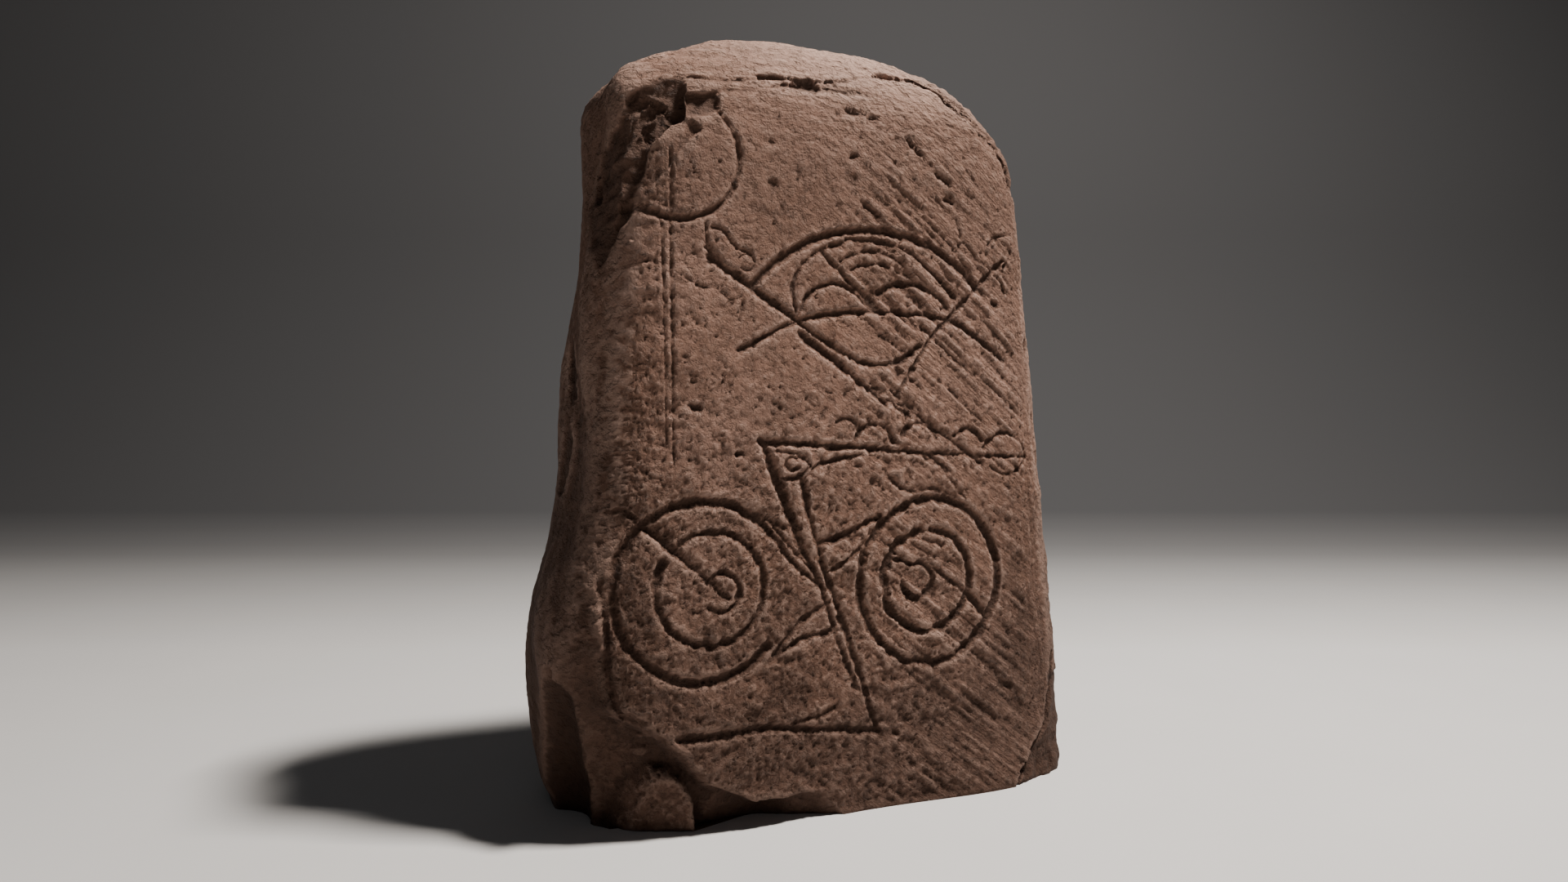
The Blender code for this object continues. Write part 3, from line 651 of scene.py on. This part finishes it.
def pits(x, y, z, seed, count, columns, radii, depth_share):
    """Depth of small random pits around points of the grid."""
    random = np.random.default_rng(seed)
    depth = np.zeros(x.shape)
    heights = random.uniform(*PIT_HEIGHTS, count)
    row_of = np.interp(heights, z[:, 0], np.arange(x.shape[0])).astype(int)
    column_of = random.integers(0, columns, count)
    size_of = radii[0] + (radii[1] - radii[0]) * random.random(count) ** 3
    stretch_of = random.uniform(*PIT_STRETCH, count)
    for row, column, size, stretch in zip(row_of, column_of, size_of, stretch_of):
        more_rows = int(size * PIT_REACH / ROW_STEP) + 1
        more_columns = int(size * PIT_REACH / COLUMN_STEP) + 1
        rows = slice(max(0, row - more_rows), min(x.shape[0], row + more_rows + 1))
        around = np.arange(column - more_columns, column + more_columns + 1) % x.shape[1]
        dx, dy, dz = (value[rows][:, around] - value[row, column] for value in (x, y, z))
        t = np.sqrt((dx**2 + dy**2) * stretch + dz**2 / stretch) / size
        cut = size * depth_share * clamped(1 - t**2) ** 1.5
        depth[rows, around] = np.maximum(depth[rows, around], cut)
    return depth


def blurred(values, steps):
    """Values of the closed grid averaged over a few steps each way."""
    for _ in range(2):
        total = values.copy()
        for shift in range(1, steps + 1):
            total += np.roll(values, shift, axis=1) + np.roll(values, -shift, axis=1)
        values = total / (2 * steps + 1)
        padded = np.pad(values, ((steps, steps), (0, 0)), mode="edge")
        sums = np.cumsum(np.vstack([np.zeros((1, values.shape[1])), padded]), axis=0)
        values = (sums[2 * steps + 1 :] - sums[: -2 * steps - 1]) / (2 * steps + 1)
    return values


def striations(x, y, z, lean, sizes, seed):
    """Long scratches along a lean in degrees, of a few widths, -1 to 1 with sharp hollows."""
    turn = math.radians(lean)
    u = x * math.cos(turn) + z * math.sin(turn)
    v = -x * math.sin(turn) + z * math.cos(turn)
    total = 0.0
    for i, (size, share) in enumerate(sizes):
        value = noise(u / STREAK_LENGTH, v, y / STREAK_THICKNESS, size, seed + i)
        total = total + share * (value - STREAK_HOLLOW * (1 - np.abs(value)) ** 5)
    return total


def uneven_skin():
    """The solid's skin with its broad swell, calmer at the underside, and the wear of its outline."""
    bearing, height = np.meshgrid(column_bearings(), row_heights())
    x, y, z = slab_skin(bearing, height)
    normal = normals_of(x, y, z)
    front = blend(*FRONT_FACING, -normal[..., 1])
    swell = WIDE_WAVES * fractal(x, y, z, 26, 11, 3)
    swell = swell + CLOSE_WAVES * fractal(x, y, z, 7, 12, 3)
    swell *= (0.8 + 0.4 * (1 - front)) * blend(-1, 4, z)
    swell -= WORN_BACK
    x = x + normal[..., 0] * swell
    y = y + normal[..., 1] * swell
    z = z + normal[..., 2] * swell * blend(3, 10, z)
    for middle_x, middle_z, spread, move_x, move_z in OUTLINE_WEAR:
        share = np.exp(-((x - middle_x) ** 2 + (z - middle_z) ** 2) / spread**2)
        x = x + move_x * share
        z = z + move_z * share
    return x, y, z, normal


def carving_depth(x, y, z):
    """Depth of the symbols, scratches and hollows in the face."""
    warp_x, warp_z = (STROKE_WANDER * fractal(x, y, z, 1.5, seed, 3, 0.6) for seed in (21, 22))
    strokes = [(*stroke, STROKE_SHARE) for group in SYMBOLS for stroke in group]
    carved = stroke_depths(strokes, x, z, 0.5 * warp_x, 0.5 * warp_z)
    carved = np.maximum(carved, ramp_depths(x + 0.5 * warp_x, z + 0.5 * warp_z))
    beads = fractal(x, y, z, 0.9, 25, 2) * blend(0.50, 0.25, carved)
    uneven = 1 + STROKE_UNEVEN * fractal(x, y, z, 2.6, 23, 3)
    carved *= np.clip(uneven + STROKE_BEADS * beads, 0.25, 1.7)
    scratched = stroke_depths(SCRATCHES, x, z, warp_x, warp_z)
    scratched *= SCRATCH_SCALE + SCRATCH_UNEVEN * fractal(x, y, z, 2, 24, 3)
    hollow = np.zeros(x.shape)
    for hollow_x, hollow_z, half_width, half_height, tilt, deep in HOLLOWS:
        turn = math.radians(tilt)
        dx, dz = x - hollow_x + warp_x, z - hollow_z + warp_z
        u = dx * math.cos(turn) + dz * math.sin(turn)
        v = -dx * math.sin(turn) + dz * math.cos(turn)
        t = np.hypot(u / half_width / 1.1, v / half_height / 1.1)
        bowl = clamped(1 - t**2) ** 1.2
        hollow = np.maximum(hollow, deep * HOLLOW_SHARE * bowl)
    return np.maximum(np.maximum(carved, scratched + 0.4 * carved), hollow)


def break_off(x, y, z, normal, wander, fine):
    """Y after the breaks, how much each place is part of a break with the painted shade that goes with
    it, and the mound at the lower left corner.
    """
    rough = fractal(x, x, z, 5, 33, 4, 0.55)
    not_back = normal[..., 1] < NOT_BACK

    # Mound and groove at the lower left corner
    inside = inside_distance(MOUND, x, z, wander, 0.5)
    mound = blend(0, 1, inside / np.interp(x, (-37, -29), (4.5, 1.4)))
    groove_near, _ = near_path(CORNER_GROOVE, x + 0.5 * wander[0], z)
    groove = (0.6 + 1.2 * blend(40, 22, z)) * blend(1, 0.1, groove_near)
    y = y + groove * blend(44, 34, z) * not_back

    # Each break: outline, floors, steepness of the wall, roughness of the floor, wander of the
    # outline, share of the depth that is taken, lump left on the floor and darkness, which paints the
    # floor dark: its own colour, and on the scar and in the pocket under the ledge also painted shade
    above_edge = blend(-0.2, 0.2, z + 0.5 * wander[1] - NOTCH_EDGE - 0.15 * (x + 24))
    left_share = blend(47, 15, z)
    deeper_top = -1 * blend(108, 113, z)
    mound_lump = MOUND_RISE * mound
    right_dark = blend(-4, -13, y)
    breaks = (
        (TOP_SCAR, (TOP_SCAR_FLOOR,), 3.5, 0.35, 0.9, 1, deeper_top, 1.3),
        (TOP_NOTCH, (TOP_NOTCH_FLOOR,), 3, 0.35, 0.7, 1, 1.1 * above_edge, 1.2),
        (LEFT_FOOT, (LEFT_FOOT_FLOOR,), 2.6, 0.15, 0.9, left_share, mound_lump, 0.55),
        (FOOT_POCKET, FOOT_POCKET_FLOORS, 2.6, 0.15, 0.7, 1, mound_lump, 0.9),
        (RIGHT_BREAK, (RIGHT_BREAK_FLOOR,), 1.6, 0.30, 0.8, 0.5, 0, right_dark),
    )
    crack_near, _ = near_path(RIGHT_CRACK, x + wander[0], z + wander[1])
    y = y + CRACK_DEPTH * blend(0.6, 0, crack_near) * not_back
    # The crack is painted dark along its line: painted shade in its crevice
    broken_and_shade = np.where(not_back, 1.6 * blend(0.6, 0.1, crack_near), 0)
    for outline, floors, steep, bumpy, wanders, share, lump, darkness in breaks:
        inside = inside_distance(outline, x, z, wander, wanders)
        floor = np.inf
        for depth, along, up in floors:
            floor = np.minimum(floor, FACE_Y + depth + along * x + up * z)
        floor = floor - lump + bumpy * (rough + 0.5 * fine)
        drop = np.minimum(floor - y, steep * np.maximum(inside, 0)) * share
        drop = np.where((inside > 0) & (normal[..., 1] < 0.3), np.maximum(drop, 0), 0)
        y = y + drop
        darkness = darkness * (1 - clamped(lump))
        broken_and_shade = np.maximum(broken_and_shade, darkness * clamped(drop / 0.6))

    # Stone that is lost below the right crack, and the ragged ridge beside the groove
    inside = inside_distance(RIGHT_BREAK, x, z, wander)
    past_crack = blend(0, 0.5, inside) * blend(0, -5, y + 5 * wander[0])
    y = y + past_crack * (0.5 + 0.7 * rough)
    # The stone below the crack is painted darker: painted shade on that block
    broken_and_shade = np.maximum(broken_and_shade, 0.9 * past_crack)
    ridge_near, _ = near_path(CORNER_RIDGE, x + wander[0], z)
    ragged = blend(1.3, 0.1, ridge_near) * blend(44, 36, z) * not_back
    lumps = np.clip(fractal(x, y, z, 2.2, 39, 3, 0.6), -0.4, 1)
    return y - ragged * (0.6 + 1.3 * lumps), broken_and_shade, mound


def scar_crumble(x, y, z, normal, wander):
    """Where the scar is, out to its edge on the flank, and how far its floor is crumbled."""
    edge_z, edge_y = np.array(SCAR_EDGE).T
    inside = inside_distance(TOP_SCAR, x, z, wander)
    beyond = np.interp(z + wander[1], edge_z, edge_y) + 2 * wander[0] - y
    in_scar = blend(0, 0.3, inside) * blend(0, 0.3 + 2.5 * blend(106, 100, z), beyond)
    in_scar *= blend(0.2, 0, normal[..., 1])
    strata = noise(x / 4, y / 4, z + 0.25 * y, 1.1, 36) + 0.6 * noise(x, y, z, 2.2, 37)
    turned = (0.30 * x + 0.36 * z, y, 0.64 * z - 0.77 * x)
    crumbs = np.maximum(fractal(*turned, 1.5, 38, 3, 0.6), -0.50)
    high = blend(102, 107, z)
    crumble = CRUMBLED + high * (0.45 + 0.50 * crumbs) + (1 - high) * 0.38 * strata
    return in_scar, in_scar * crumble


def flank_slot(x, y, z, normal, wander):
    """Depth of the slot up the left flank, along X, and how much each place is part of it."""
    slot = np.array(FLANK_SLOT)
    slot_z = z + 0.5 * wander[1]
    middle_x = np.interp(slot_z, slot[:, 2], slot[:, 0])
    middle_y = np.interp(slot_z, slot[:, 2], FACE_Y + slot[:, 1]) + 0.5 * wander[0]
    radius = np.interp(slot_z, slot[:, 2], slot[:, 3])
    over = np.clip(slot_z - slot[-1, 2], 0, None)
    radius = np.sqrt(np.clip(radius**2 - over**2 * 0.6, 0, None))
    chord = np.sqrt(np.clip(radius**2 - (y - middle_y) ** 2, 0, None))
    half_open = np.sqrt(np.clip(radius**2 - (x - middle_x) ** 2, 0, None))
    on_flank = (chord > 0) & (normal[..., 0] < 0.2)
    within = half_open - np.abs(y - middle_y)
    cut = np.minimum(middle_x + chord - x, 2.2 * within)
    share = clamped(within / 0.8 + 0.6) * on_flank * blend(25, 23, z)
    return np.where(on_flank, np.maximum(cut, 0), 0), share


def grain(x, y, z, flat, facing, calm, mound):
    """Relief of the weathered surface along its normals: streaks, beds, hammered grain, pits."""
    flat_x, flat_z = flat
    front, right, above = facing
    across_right = blend(-8, 12, flat_x + 0.25 * np.clip(40 - flat_z, 0, 40))
    patchy = blend(-0.6, 0.5, fractal(x, y, z, 14, 45, 2))
    ploughed = striations(x, y, z, PLOUGHED_LEAN, PLOUGHED_WIDE, 61) * blend(98, 74, flat_z)
    ploughed += striations(x, y, z, PLOUGHED_LEAN, PLOUGHED_FINE, 62)
    combed = striations(x, y, z, COMBED_LEAN, COMBED, 71)
    side_share = clamped(blend(33, 38, flat_x) + right)
    relief = front * across_right * (1 - side_share) * (0.35 + 0.65 * patchy) * ploughed
    relief += side_share * (1 - 0.55 * blend(-8, 4, y)) * combed
    bedded = noise(x / 5, y / 1.6, z * 1.4, 1, 81) + 0.7 * noise(x / 4, y, z, 0.6, 82)
    relief += np.maximum(above, 0.5 * blend(103, 110, flat_z)) * 0.14 * bedded
    hammered = fractal(x, y, z, 1.3, 41, 3, 0.7)
    coarse = fractal(x, y, z, 3.4, 43, 3, 0.6)
    sunken = blend(0.10, 0.38, hammered - 0.3 * coarse)
    pecked = 0.70 + 0.55 * blend(78, 52, flat_z) * blend(28, 4, flat_x)
    pecked = np.maximum(pecked * front + 0.50 * (1 - front), 0.8 * mound)
    relief += calm * pecked * (0.23 * hammered + 0.13 * coarse - (0.06 + 0.13 * patchy) * sunken)
    return relief - sum(pits(x, y, z, *kind) for kind in PITS) * calm


def stone_grid():
    """Points of the weathered surface, how deep they lie, and where it breaks away and is painted
    dark, partly as painted shade.
    """
    x, y, z, normal = uneven_skin()
    flat_x, flat_z = x, z
    front = blend(*FRONT_FACING, -normal[..., 1])
    right = blend(*SIDE_FACING, normal[..., 0])
    above = blend(*TOP_FACING, normal[..., 2])
    y = y + front * carving_depth(x, y, z)

    # Breaks, spall beside the scar, crumbled floor of the scar, and slot
    wander = [BREAK_WANDER * fractal(x, y, z, 4, seed) for seed in (31, 32)]
    fine = fractal(x, x, z, 1.5, 34, 3, 0.55)
    y, broken_and_shade, mound = break_off(x, y, z, normal, wander, fine)
    inside = inside_distance(SPALL, x, z, wander, 0.5)
    y = y + np.where(front > 0.2, SPALL_DEPTH * clamped(inside / 0.15), 0)
    in_scar, crumble = scar_crumble(x, y, z, normal, wander)
    # The scar is painted dark, most on its upper part: painted shade where its floor turns away from
    # the light
    broken_and_shade = np.maximum(broken_and_shade, (1.25 + 0.3 * blend(102, 106, z)) * in_scar)
    cut, in_slot = flank_slot(x, y, z, normal, wander)
    # The slot is painted nearly black: painted shadow inside it
    broken_and_shade = np.maximum(broken_and_shade, 1.5 * in_slot)
    x = x + cut

    # Spikes come off the broken places, and then the edges are chipped
    soften = clamped(blurred(broken_and_shade, 2) * 1.5)
    x, y = (value + soften * (blurred(value, 1) - value) for value in (x, y))
    normal = normals_of(x, y, z)
    chipped = np.zeros(x.shape)
    for place in CHIPS:
        cut = chip(x, y, z, normal, place, fine)
        chipped = np.maximum(chipped, cut) if place[-1] > 0 else chipped + cut
    # Chips are painted darker: painted shade in their scoops
    broken_and_shade = np.maximum(broken_and_shade, 0.6 * clamped(chipped / 0.9))
    inside = inside_distance(SHOULDER_STRIP, flat_x, flat_z, wander, 0.5)
    strip = blend(0, 0.3, inside) * blend(1, -9, y) * blend(14, 19, flat_x)
    facets = noise(x, y, z, 2.4, 46) + 0.5 * noise(x, y, z, 1.1, 47)
    chipped += strip * (FACET_DEPTH + FACET_DEPTH * facets)
    broken_and_shade = np.maximum(broken_and_shade, strip * (0.5 - 0.4 * facets))

    calm = 1 - 0.45 * clamped(broken_and_shade * (1 - in_scar))
    relief = grain(x, y, z, (flat_x, flat_z), (front, right, above), calm, mound)
    relief = (relief - (chipped + crumble)) * blend(0, 1.5, z)
    x = x + normal[..., 0] * relief
    y = y + normal[..., 1] * relief
    z = z + normal[..., 2] * relief * blend(1, 5, z)
    z[0] = 0

    normal = normals_of(x, y, z)
    depths = []
    for steps, full in SURROUNDINGS:
        lift = np.stack([value - blurred(value, steps) for value in (x, y, z)], -1)
        depths.append(np.clip(-(normal * lift).sum(-1) / full, -1, 1))
    return x, y, z, depths[0], depths[1], broken_and_shade


def placed(name, data):
    """New object in the scene."""
    thing = bpy.data.objects.new(name, data)
    bpy.context.scene.collection.objects.link(thing)
    return thing


def grid_faces(rows, columns):
    """Triangles of the closed grid, with fans to the points at the crown and under the foot."""
    here = np.arange(rows * columns).reshape(rows, columns)
    beside = np.roll(here, -1, axis=1)
    lower = np.stack([here[:-1], beside[:-1], beside[1:]], -1).reshape(-1, 3)
    upper = np.stack([here[:-1], beside[1:], here[1:]], -1).reshape(-1, 3)
    crown, foot = rows * columns, rows * columns + 1
    cap = np.stack([here[-1], beside[-1], np.full(columns, crown)], -1)
    base = np.stack([beside[0], here[0], np.full(columns, foot)], -1)
    return np.vstack([lower, upper, cap, base]).astype(np.int32)


def stone_mesh():
    """The stone as one closed mesh of at most the given number of triangles."""
    x, y, z, *fields = stone_grid()
    points = np.stack([x, y, z], axis=-1).reshape(-1, 3)
    count = len(points)
    crown = (x[-1].mean(), y[-1].mean(), z[-1].mean() + CROWN_RISE)
    foot = (x[0].mean(), y[0].mean(), 0.0)
    points = np.vstack([points, crown, foot]) * CM
    faces = grid_faces(*x.shape)
    mesh = bpy.data.meshes.new("stone_surface")
    mesh.vertices.add(len(points))
    mesh.vertices.foreach_set("co", points.astype(np.float32).ravel())
    mesh.loops.add(faces.size)
    mesh.loops.foreach_set("vertex_index", faces.ravel())
    mesh.polygons.add(len(faces))
    mesh.polygons.foreach_set("loop_start", np.arange(0, faces.size, 3, dtype=np.int32))
    mesh.update(calc_edges=True)
    stone = placed("stone_surface", mesh)
    reduce = stone.modifiers.new("reduce", "DECIMATE")
    reduce.ratio = MOST_TRIANGLES / len(faces)
    graph = bpy.context.evaluated_depsgraph_get()
    reduced = bpy.data.meshes.new_from_object(stone.evaluated_get(graph))
    stone.modifiers.clear()
    stone.data = reduced
    bpy.data.meshes.remove(mesh)
    reduced.name = "stone_surface"
    reduced.polygons.foreach_set("use_smooth", np.ones(len(reduced.polygons), bool))

    # Depths, and breaks with their painted shade, for the colour, from the nearest point of the full
    # surface
    final = np.empty(len(reduced.vertices) * 3, np.float32)
    reduced.vertices.foreach_get("co", final)
    tree = kdtree.KDTree(count)
    for i, point in enumerate(points[:count].tolist()):
        tree.insert(point, i)
    tree.balance()
    nearest = np.array([tree.find(point)[1] for point in final.reshape(-1, 3).tolist()])
    for name, values in zip(SURFACE_FIELDS, fields):
        attribute = reduced.attributes.new(name, "FLOAT", "POINT")
        attribute.data.foreach_set("value", values.ravel()[nearest].astype(np.float32))
    return stone


class Nodes:
    """Short way to write a material's nodes."""

    def __init__(self, name):
        self.material = bpy.data.materials.new(name)
        self.material.use_nodes = True
        self.tree = self.material.node_tree
        self.shader = self.tree.nodes["Principled BSDF"]

    def add(self, kind, values=None, **settings):
        node = self.tree.nodes.new(kind)
        for key, value in settings.items():
            setattr(node, key, value)
        for key, value in (values or {}).items():
            self.put(node.inputs[key], value)
        return node

    def put(self, socket, value):
        if isinstance(value, bpy.types.NodeSocket):
            self.tree.links.new(value, socket)
        else:
            socket.default_value = value

    def mix(self, share, first, second):
        node = self.add("ShaderNodeMix", {0: share, 6: first, 7: second}, data_type="RGBA")
        return node.outputs[2]

    def math(self, operation, *values, clamp=False):
        node = self.add("ShaderNodeMath", operation=operation, use_clamp=clamp)
        for socket, value in zip(node.inputs, values):
            self.put(socket, value)
        return node.outputs[0]

    def times(self, first, second, clamp=False):
        return self.math("MULTIPLY", first, second, clamp=clamp)

    def plus(self, first, second):
        return self.math("ADD", first, second)

    def span(self, value, low, high, to_low=0.0, to_high=1.0):
        node = self.add("ShaderNodeMapRange", {0: value, 1: low, 2: high, 3: to_low, 4: to_high})
        return node.outputs[0]

    def noise(self, place, scale, detail=3.0, roughness=0.5, distortion=0.0):
        values = {"Vector": place, "Scale": scale, "Detail": detail, "Roughness": roughness}
        return self.add("ShaderNodeTexNoise", {**values, "Distortion": distortion}).outputs[0]


# Colours of the sandstone, and how much stains with painted shade, breaks with painted shade,
# painted shade in hollows, worn edges with painted highlights and the painted highlight on the top
# change it
WARM = (0.182, 0.094, 0.062, 1.0)
PINK = (0.240, 0.136, 0.099, 1.0)
BROWN = (0.108, 0.056, 0.037, 1.0)
DARK = (0.036, 0.0165, 0.0095, 1.0)
PALE = (0.400, 0.270, 0.215, 1.0)
STAIN_AND_SHADE, BREAK_AND_SHADE_DARK = 0.72, 0.62
WIDE_HOLLOW_SHADE, NEAR_HOLLOW_SHADE, WEAR_AND_HIGHLIGHT_PALE = 0.75, 0.46, 0.46
UPPER_BROWN, TOP_HIGHLIGHT = 0.48, 0.74
SPECULAR = 0.30
BUMP_HEIGHT = 0.0031


def stain_and_painted_shade(n, x, z, patches):
    """How dark the stone is painted by places in metres, patchy and from 0 to 1: staining together
    with painted shade low on the left, at the foot and on the left flank, which turns from the light,
    and darker also towards the bottom and at the lower right edge.
    """
    # Low on the left and at the foot: staining and painted shade
    left_low = n.times(n.span(x, 0.05, -0.42), n.span(z, 0.75, 0.10))
    foot = n.span(z, 0.26, 0.0, 0.0, 0.75)
    right_low = n.times(n.span(x, 0.02, 0.30, 0.0, 0.45), n.span(z, 0.36, 0.14))
    lower_half = n.span(z, 0.70, 0.08, 0.0, 0.78)
    right_edge = n.times(n.span(x, 0.25, 0.45, 0.0, 0.74), n.span(z, 0.90, 0.30, 0.25, 1.0))
    # Left flank: painted shade, as it turns away from the light
    left_edge = n.span(x, -0.33, -0.43, 0.0, 0.78)
    stain_and_shade = left_low
    for more in (foot, right_low, lower_half, right_edge, left_edge):
        stain_and_shade = n.plus(stain_and_shade, more)
    return n.times(stain_and_shade, n.span(patches, 0.30, 0.62, 0.55, 1.0), clamp=True)


def sandstone_bump(n, place, x, z):
    """Small dents with crisp edges, streaks towards the right, beds near the top, sand grains."""
    dents = n.span(n.noise(place, 80.0, 5.0, 0.6), 0.50, 0.68)
    lean = n.add("ShaderNodeMapping", {"Vector": place}, vector_type="TEXTURE")
    lean.inputs["Rotation"].default_value = (0.0, math.radians(-PLOUGHED_LEAN), 0.0)
    lean.inputs["Scale"].default_value = (4.0, 1.0, 1.0)
    streaks = n.noise(lean.outputs[0], 130.0, 3.0, 0.6)
    streaks = n.times(streaks, n.span(x, -0.15, 0.15, 0.4, 2.2))
    level = n.add("ShaderNodeMapping", {"Vector": place, "Scale": (0.2, 0.8, 1.0)})
    beds = n.noise(level.outputs[0], 110.0, 3.0, 0.6)
    beds = n.times(beds, n.span(z, 1.02, 1.15, 0.0, 1.8))
    grains = n.noise(place, 420.0, 3.0, 0.65)
    height = n.math("MULTIPLY_ADD", dents, -1.0, n.noise(place, 150.0, 4.0, 0.65))
    height = n.plus(height, n.math("MULTIPLY_ADD", grains, 0.45, n.plus(streaks, beds)))
    bump = {"Strength": 1.0, "Distance": BUMP_HEIGHT, "Height": height}
    return n.add("ShaderNodeBump", bump).outputs[0]


def sandstone():
    """Reddish brown sandstone: blotches, grains, stains with painted shade, painted shade in hollows,
    and edges pale from wear and painted highlights.
    """
    n = Nodes("sandstone_weathered")
    place = n.add("ShaderNodeTexCoord").outputs["Object"]
    x, _, z = n.add("ShaderNodeSeparateXYZ", {0: place}).outputs
    near, wide, broken_and_shade = (
        n.add("ShaderNodeAttribute", attribute_name=name).outputs["Fac"] for name in SURFACE_FIELDS
    )

    # Blotches and single grains
    broad = n.noise(place, 3.2, 4.0, 0.55)
    patches = n.noise(place, 11.0, 5.0, 0.6, 0.4)
    mottle = n.noise(place, 60.0, 4.0, 0.65)
    speck = n.noise(place, 420.0, 2.0, 0.6)
    colour = n.mix(n.span(broad, 0.38, 0.62), WARM, PINK)
    colour = n.mix(n.span(patches, 0.42, 0.70, 0.0, 0.65), colour, BROWN)
    colour = n.mix(n.span(mottle, 0.35, 0.68, 0.0, 0.35), colour, PINK)
    colour = n.mix(n.span(speck, 0.62, 0.75, 0.0, 0.5), colour, PALE)
    colour = n.mix(n.span(speck, 0.40, 0.28, 0.0, 0.5), colour, BROWN)

    # Stains with painted shade, breaks with painted shade and painted shade in hollows are dark; worn
    # edges with painted highlights and the painted highlight on the top are pale; the upper face is
    # brown
    stain_and_shade = stain_and_painted_shade(n, x, z, patches)
    colour = n.mix(n.times(stain_and_shade, STAIN_AND_SHADE), colour, DARK)
    # Breaks are painted dark: their own colour, with painted shade in the slot, the scar and the crack
    colour = n.mix(n.times(broken_and_shade, BREAK_AND_SHADE_DARK), colour, DARK)
    # Painted shade in the wide and the near hollows of the surface
    colour = n.mix(n.span(wide, 0.08, 0.80, 0.0, WIDE_HOLLOW_SHADE), colour, DARK)
    colour = n.mix(n.span(near, 0.10, 1.00, 0.0, NEAR_HOLLOW_SHADE), colour, DARK)
    # Pale ridges and edges: wear, and painted highlights
    worn_and_highlit = n.times(n.span(near, -0.10, -1.0, 0.0, WEAR_AND_HIGHLIGHT_PALE), n.span(broken_and_shade, 0.0, 0.8, 1.0, 0.1))
    colour = n.mix(n.times(worn_and_highlit, n.span(stain_and_shade, 0.55, 1.0, 1.0, 0.45)), colour, PALE)
    upper = n.times(n.span(z, 0.80, 0.98, 0.0, UPPER_BROWN), n.span(z, 1.20, 1.12))
    colour = n.mix(upper, colour, BROWN)
    # Paler top: painted highlight where the dome faces the light from above
    top = n.times(n.span(z, 1.12, 1.26), n.span(x, -0.30, 0.05, 0.0, TOP_HIGHLIGHT))
    colour = n.mix(top, colour, PALE)

    n.put(n.shader.inputs["Base Color"], colour)
    n.put(n.shader.inputs["Roughness"], n.span(mottle, 0.3, 0.7, 0.80, 0.94))
    n.shader.inputs["Specular IOR Level"].default_value = SPECULAR
    n.put(n.shader.inputs["Normal"], sandstone_bump(n, place, x, z))
    return n.material


# Camera, floor with backdrop, lights and air around the stone
CAMERA_PLACE = (-0.81528, -1.68372, 0.67381)
CAMERA_TURN = math.radians(-24.9)
CAMERA_TILT = math.radians(2.5)
LENS, SENSOR = 24.44, 36.0
FLOOR_HALF_WIDTH, FLOOR_FRONT, FLOOR_BACK = 7.0, -9.0, 4.2
BACKDROP_RADIUS, BACKDROP_HEIGHT, BACKDROP_STEPS = 1.6, 6.0, 12
FLOOR_TONES = ((0.56, 0.55, 0.54, 1.0), (0.60, 0.59, 0.58, 1.0))
BACKDROP_TONE = (0.075, 0.075, 0.078, 1.0)
LIGHTS = (
    ("key", (1.4, -1.05, 4.8), (0.0, -0.15, 0.65), 0.50, 550.0, (1.0, 0.94, 0.88)),
    ("fill", (-1.0, -3.2, 1.4), (0.0, 0.0, 0.5), 2.2, 3.0, (0.95, 0.96, 1.0)),
)
AIR_TONE, AIR_STRENGTH = (0.5, 0.52, 0.55, 1.0), 0.07


def floor_and_backdrop():
    """Pale floor that curves up behind the stone."""
    foot = FLOOR_BACK - BACKDROP_RADIUS
    outline = [(FLOOR_FRONT, 0.0), (foot, 0.0)]
    for i in range(1, BACKDROP_STEPS + 1):
        turn = math.pi / 2 * i / BACKDROP_STEPS
        rise = BACKDROP_RADIUS - BACKDROP_RADIUS * math.cos(turn)
        outline.append((foot + BACKDROP_RADIUS * math.sin(turn), rise))
    outline.append((FLOOR_BACK, BACKDROP_HEIGHT))
    vertices = [(side * FLOOR_HALF_WIDTH, y, z) for y, z in outline for side in (-1, 1)]
    faces = [(2 * i, 2 * i + 1, 2 * i + 3, 2 * i + 2) for i in range(len(outline) - 1)]
    mesh = bpy.data.meshes.new("floor")
    mesh.from_pydata(vertices, [], faces)
    mesh.polygons.foreach_set("use_smooth", np.ones(len(faces), bool))
    floor = placed("floor", mesh)
    floor.rotation_euler = (0.0, 0.0, CAMERA_TURN)
    n = Nodes("floor_matte")
    place = n.add("ShaderNodeTexCoord").outputs["Object"]
    pale = n.mix(n.noise(place, 3.0, 3.0, 0.5), *FLOOR_TONES)
    away = n.add("ShaderNodeSeparateXYZ", {0: place}).outputs[1]
    colour = n.mix(n.span(away, 0.9, 3.2), pale, BACKDROP_TONE)
    n.put(n.shader.inputs["Base Color"], colour)
    n.shader.inputs["Roughness"].default_value = 0.9
    mesh.materials.append(n.material)
    return floor


def area_light(name, place, target, size, power, colour):
    """Square soft light that looks at a target."""
    data = bpy.data.lights.new(name, "AREA")
    data.shape = "SQUARE"
    data.size = size
    data.energy = power
    data.color = colour
    light = placed(name, data)
    light.location = place
    light.rotation_euler = (Vector(target) - Vector(place)).to_track_quat("-Z", "Y").to_euler()


def camera():
    """Camera at the photograph's viewing angle."""
    data = bpy.data.cameras.new("camera")
    data.lens = LENS
    data.sensor_width = SENSOR
    eye = placed("camera", data)
    eye.location = CAMERA_PLACE
    eye.rotation_euler = (math.pi / 2 - CAMERA_TILT, 0.0, CAMERA_TURN)
    bpy.context.scene.camera = eye


stone = stone_mesh()
stone.data.materials.clear()
stone.data.materials.append(sandstone())
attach(stone, "root")
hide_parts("stone")

floor_and_backdrop()
for light in LIGHTS:
    area_light(*light)
world = bpy.data.worlds.new("studio")
world.use_nodes = True
world.node_tree.nodes["Background"].inputs[0].default_value = AIR_TONE
world.node_tree.nodes["Background"].inputs[1].default_value = AIR_STRENGTH
bpy.context.scene.world = world
camera()
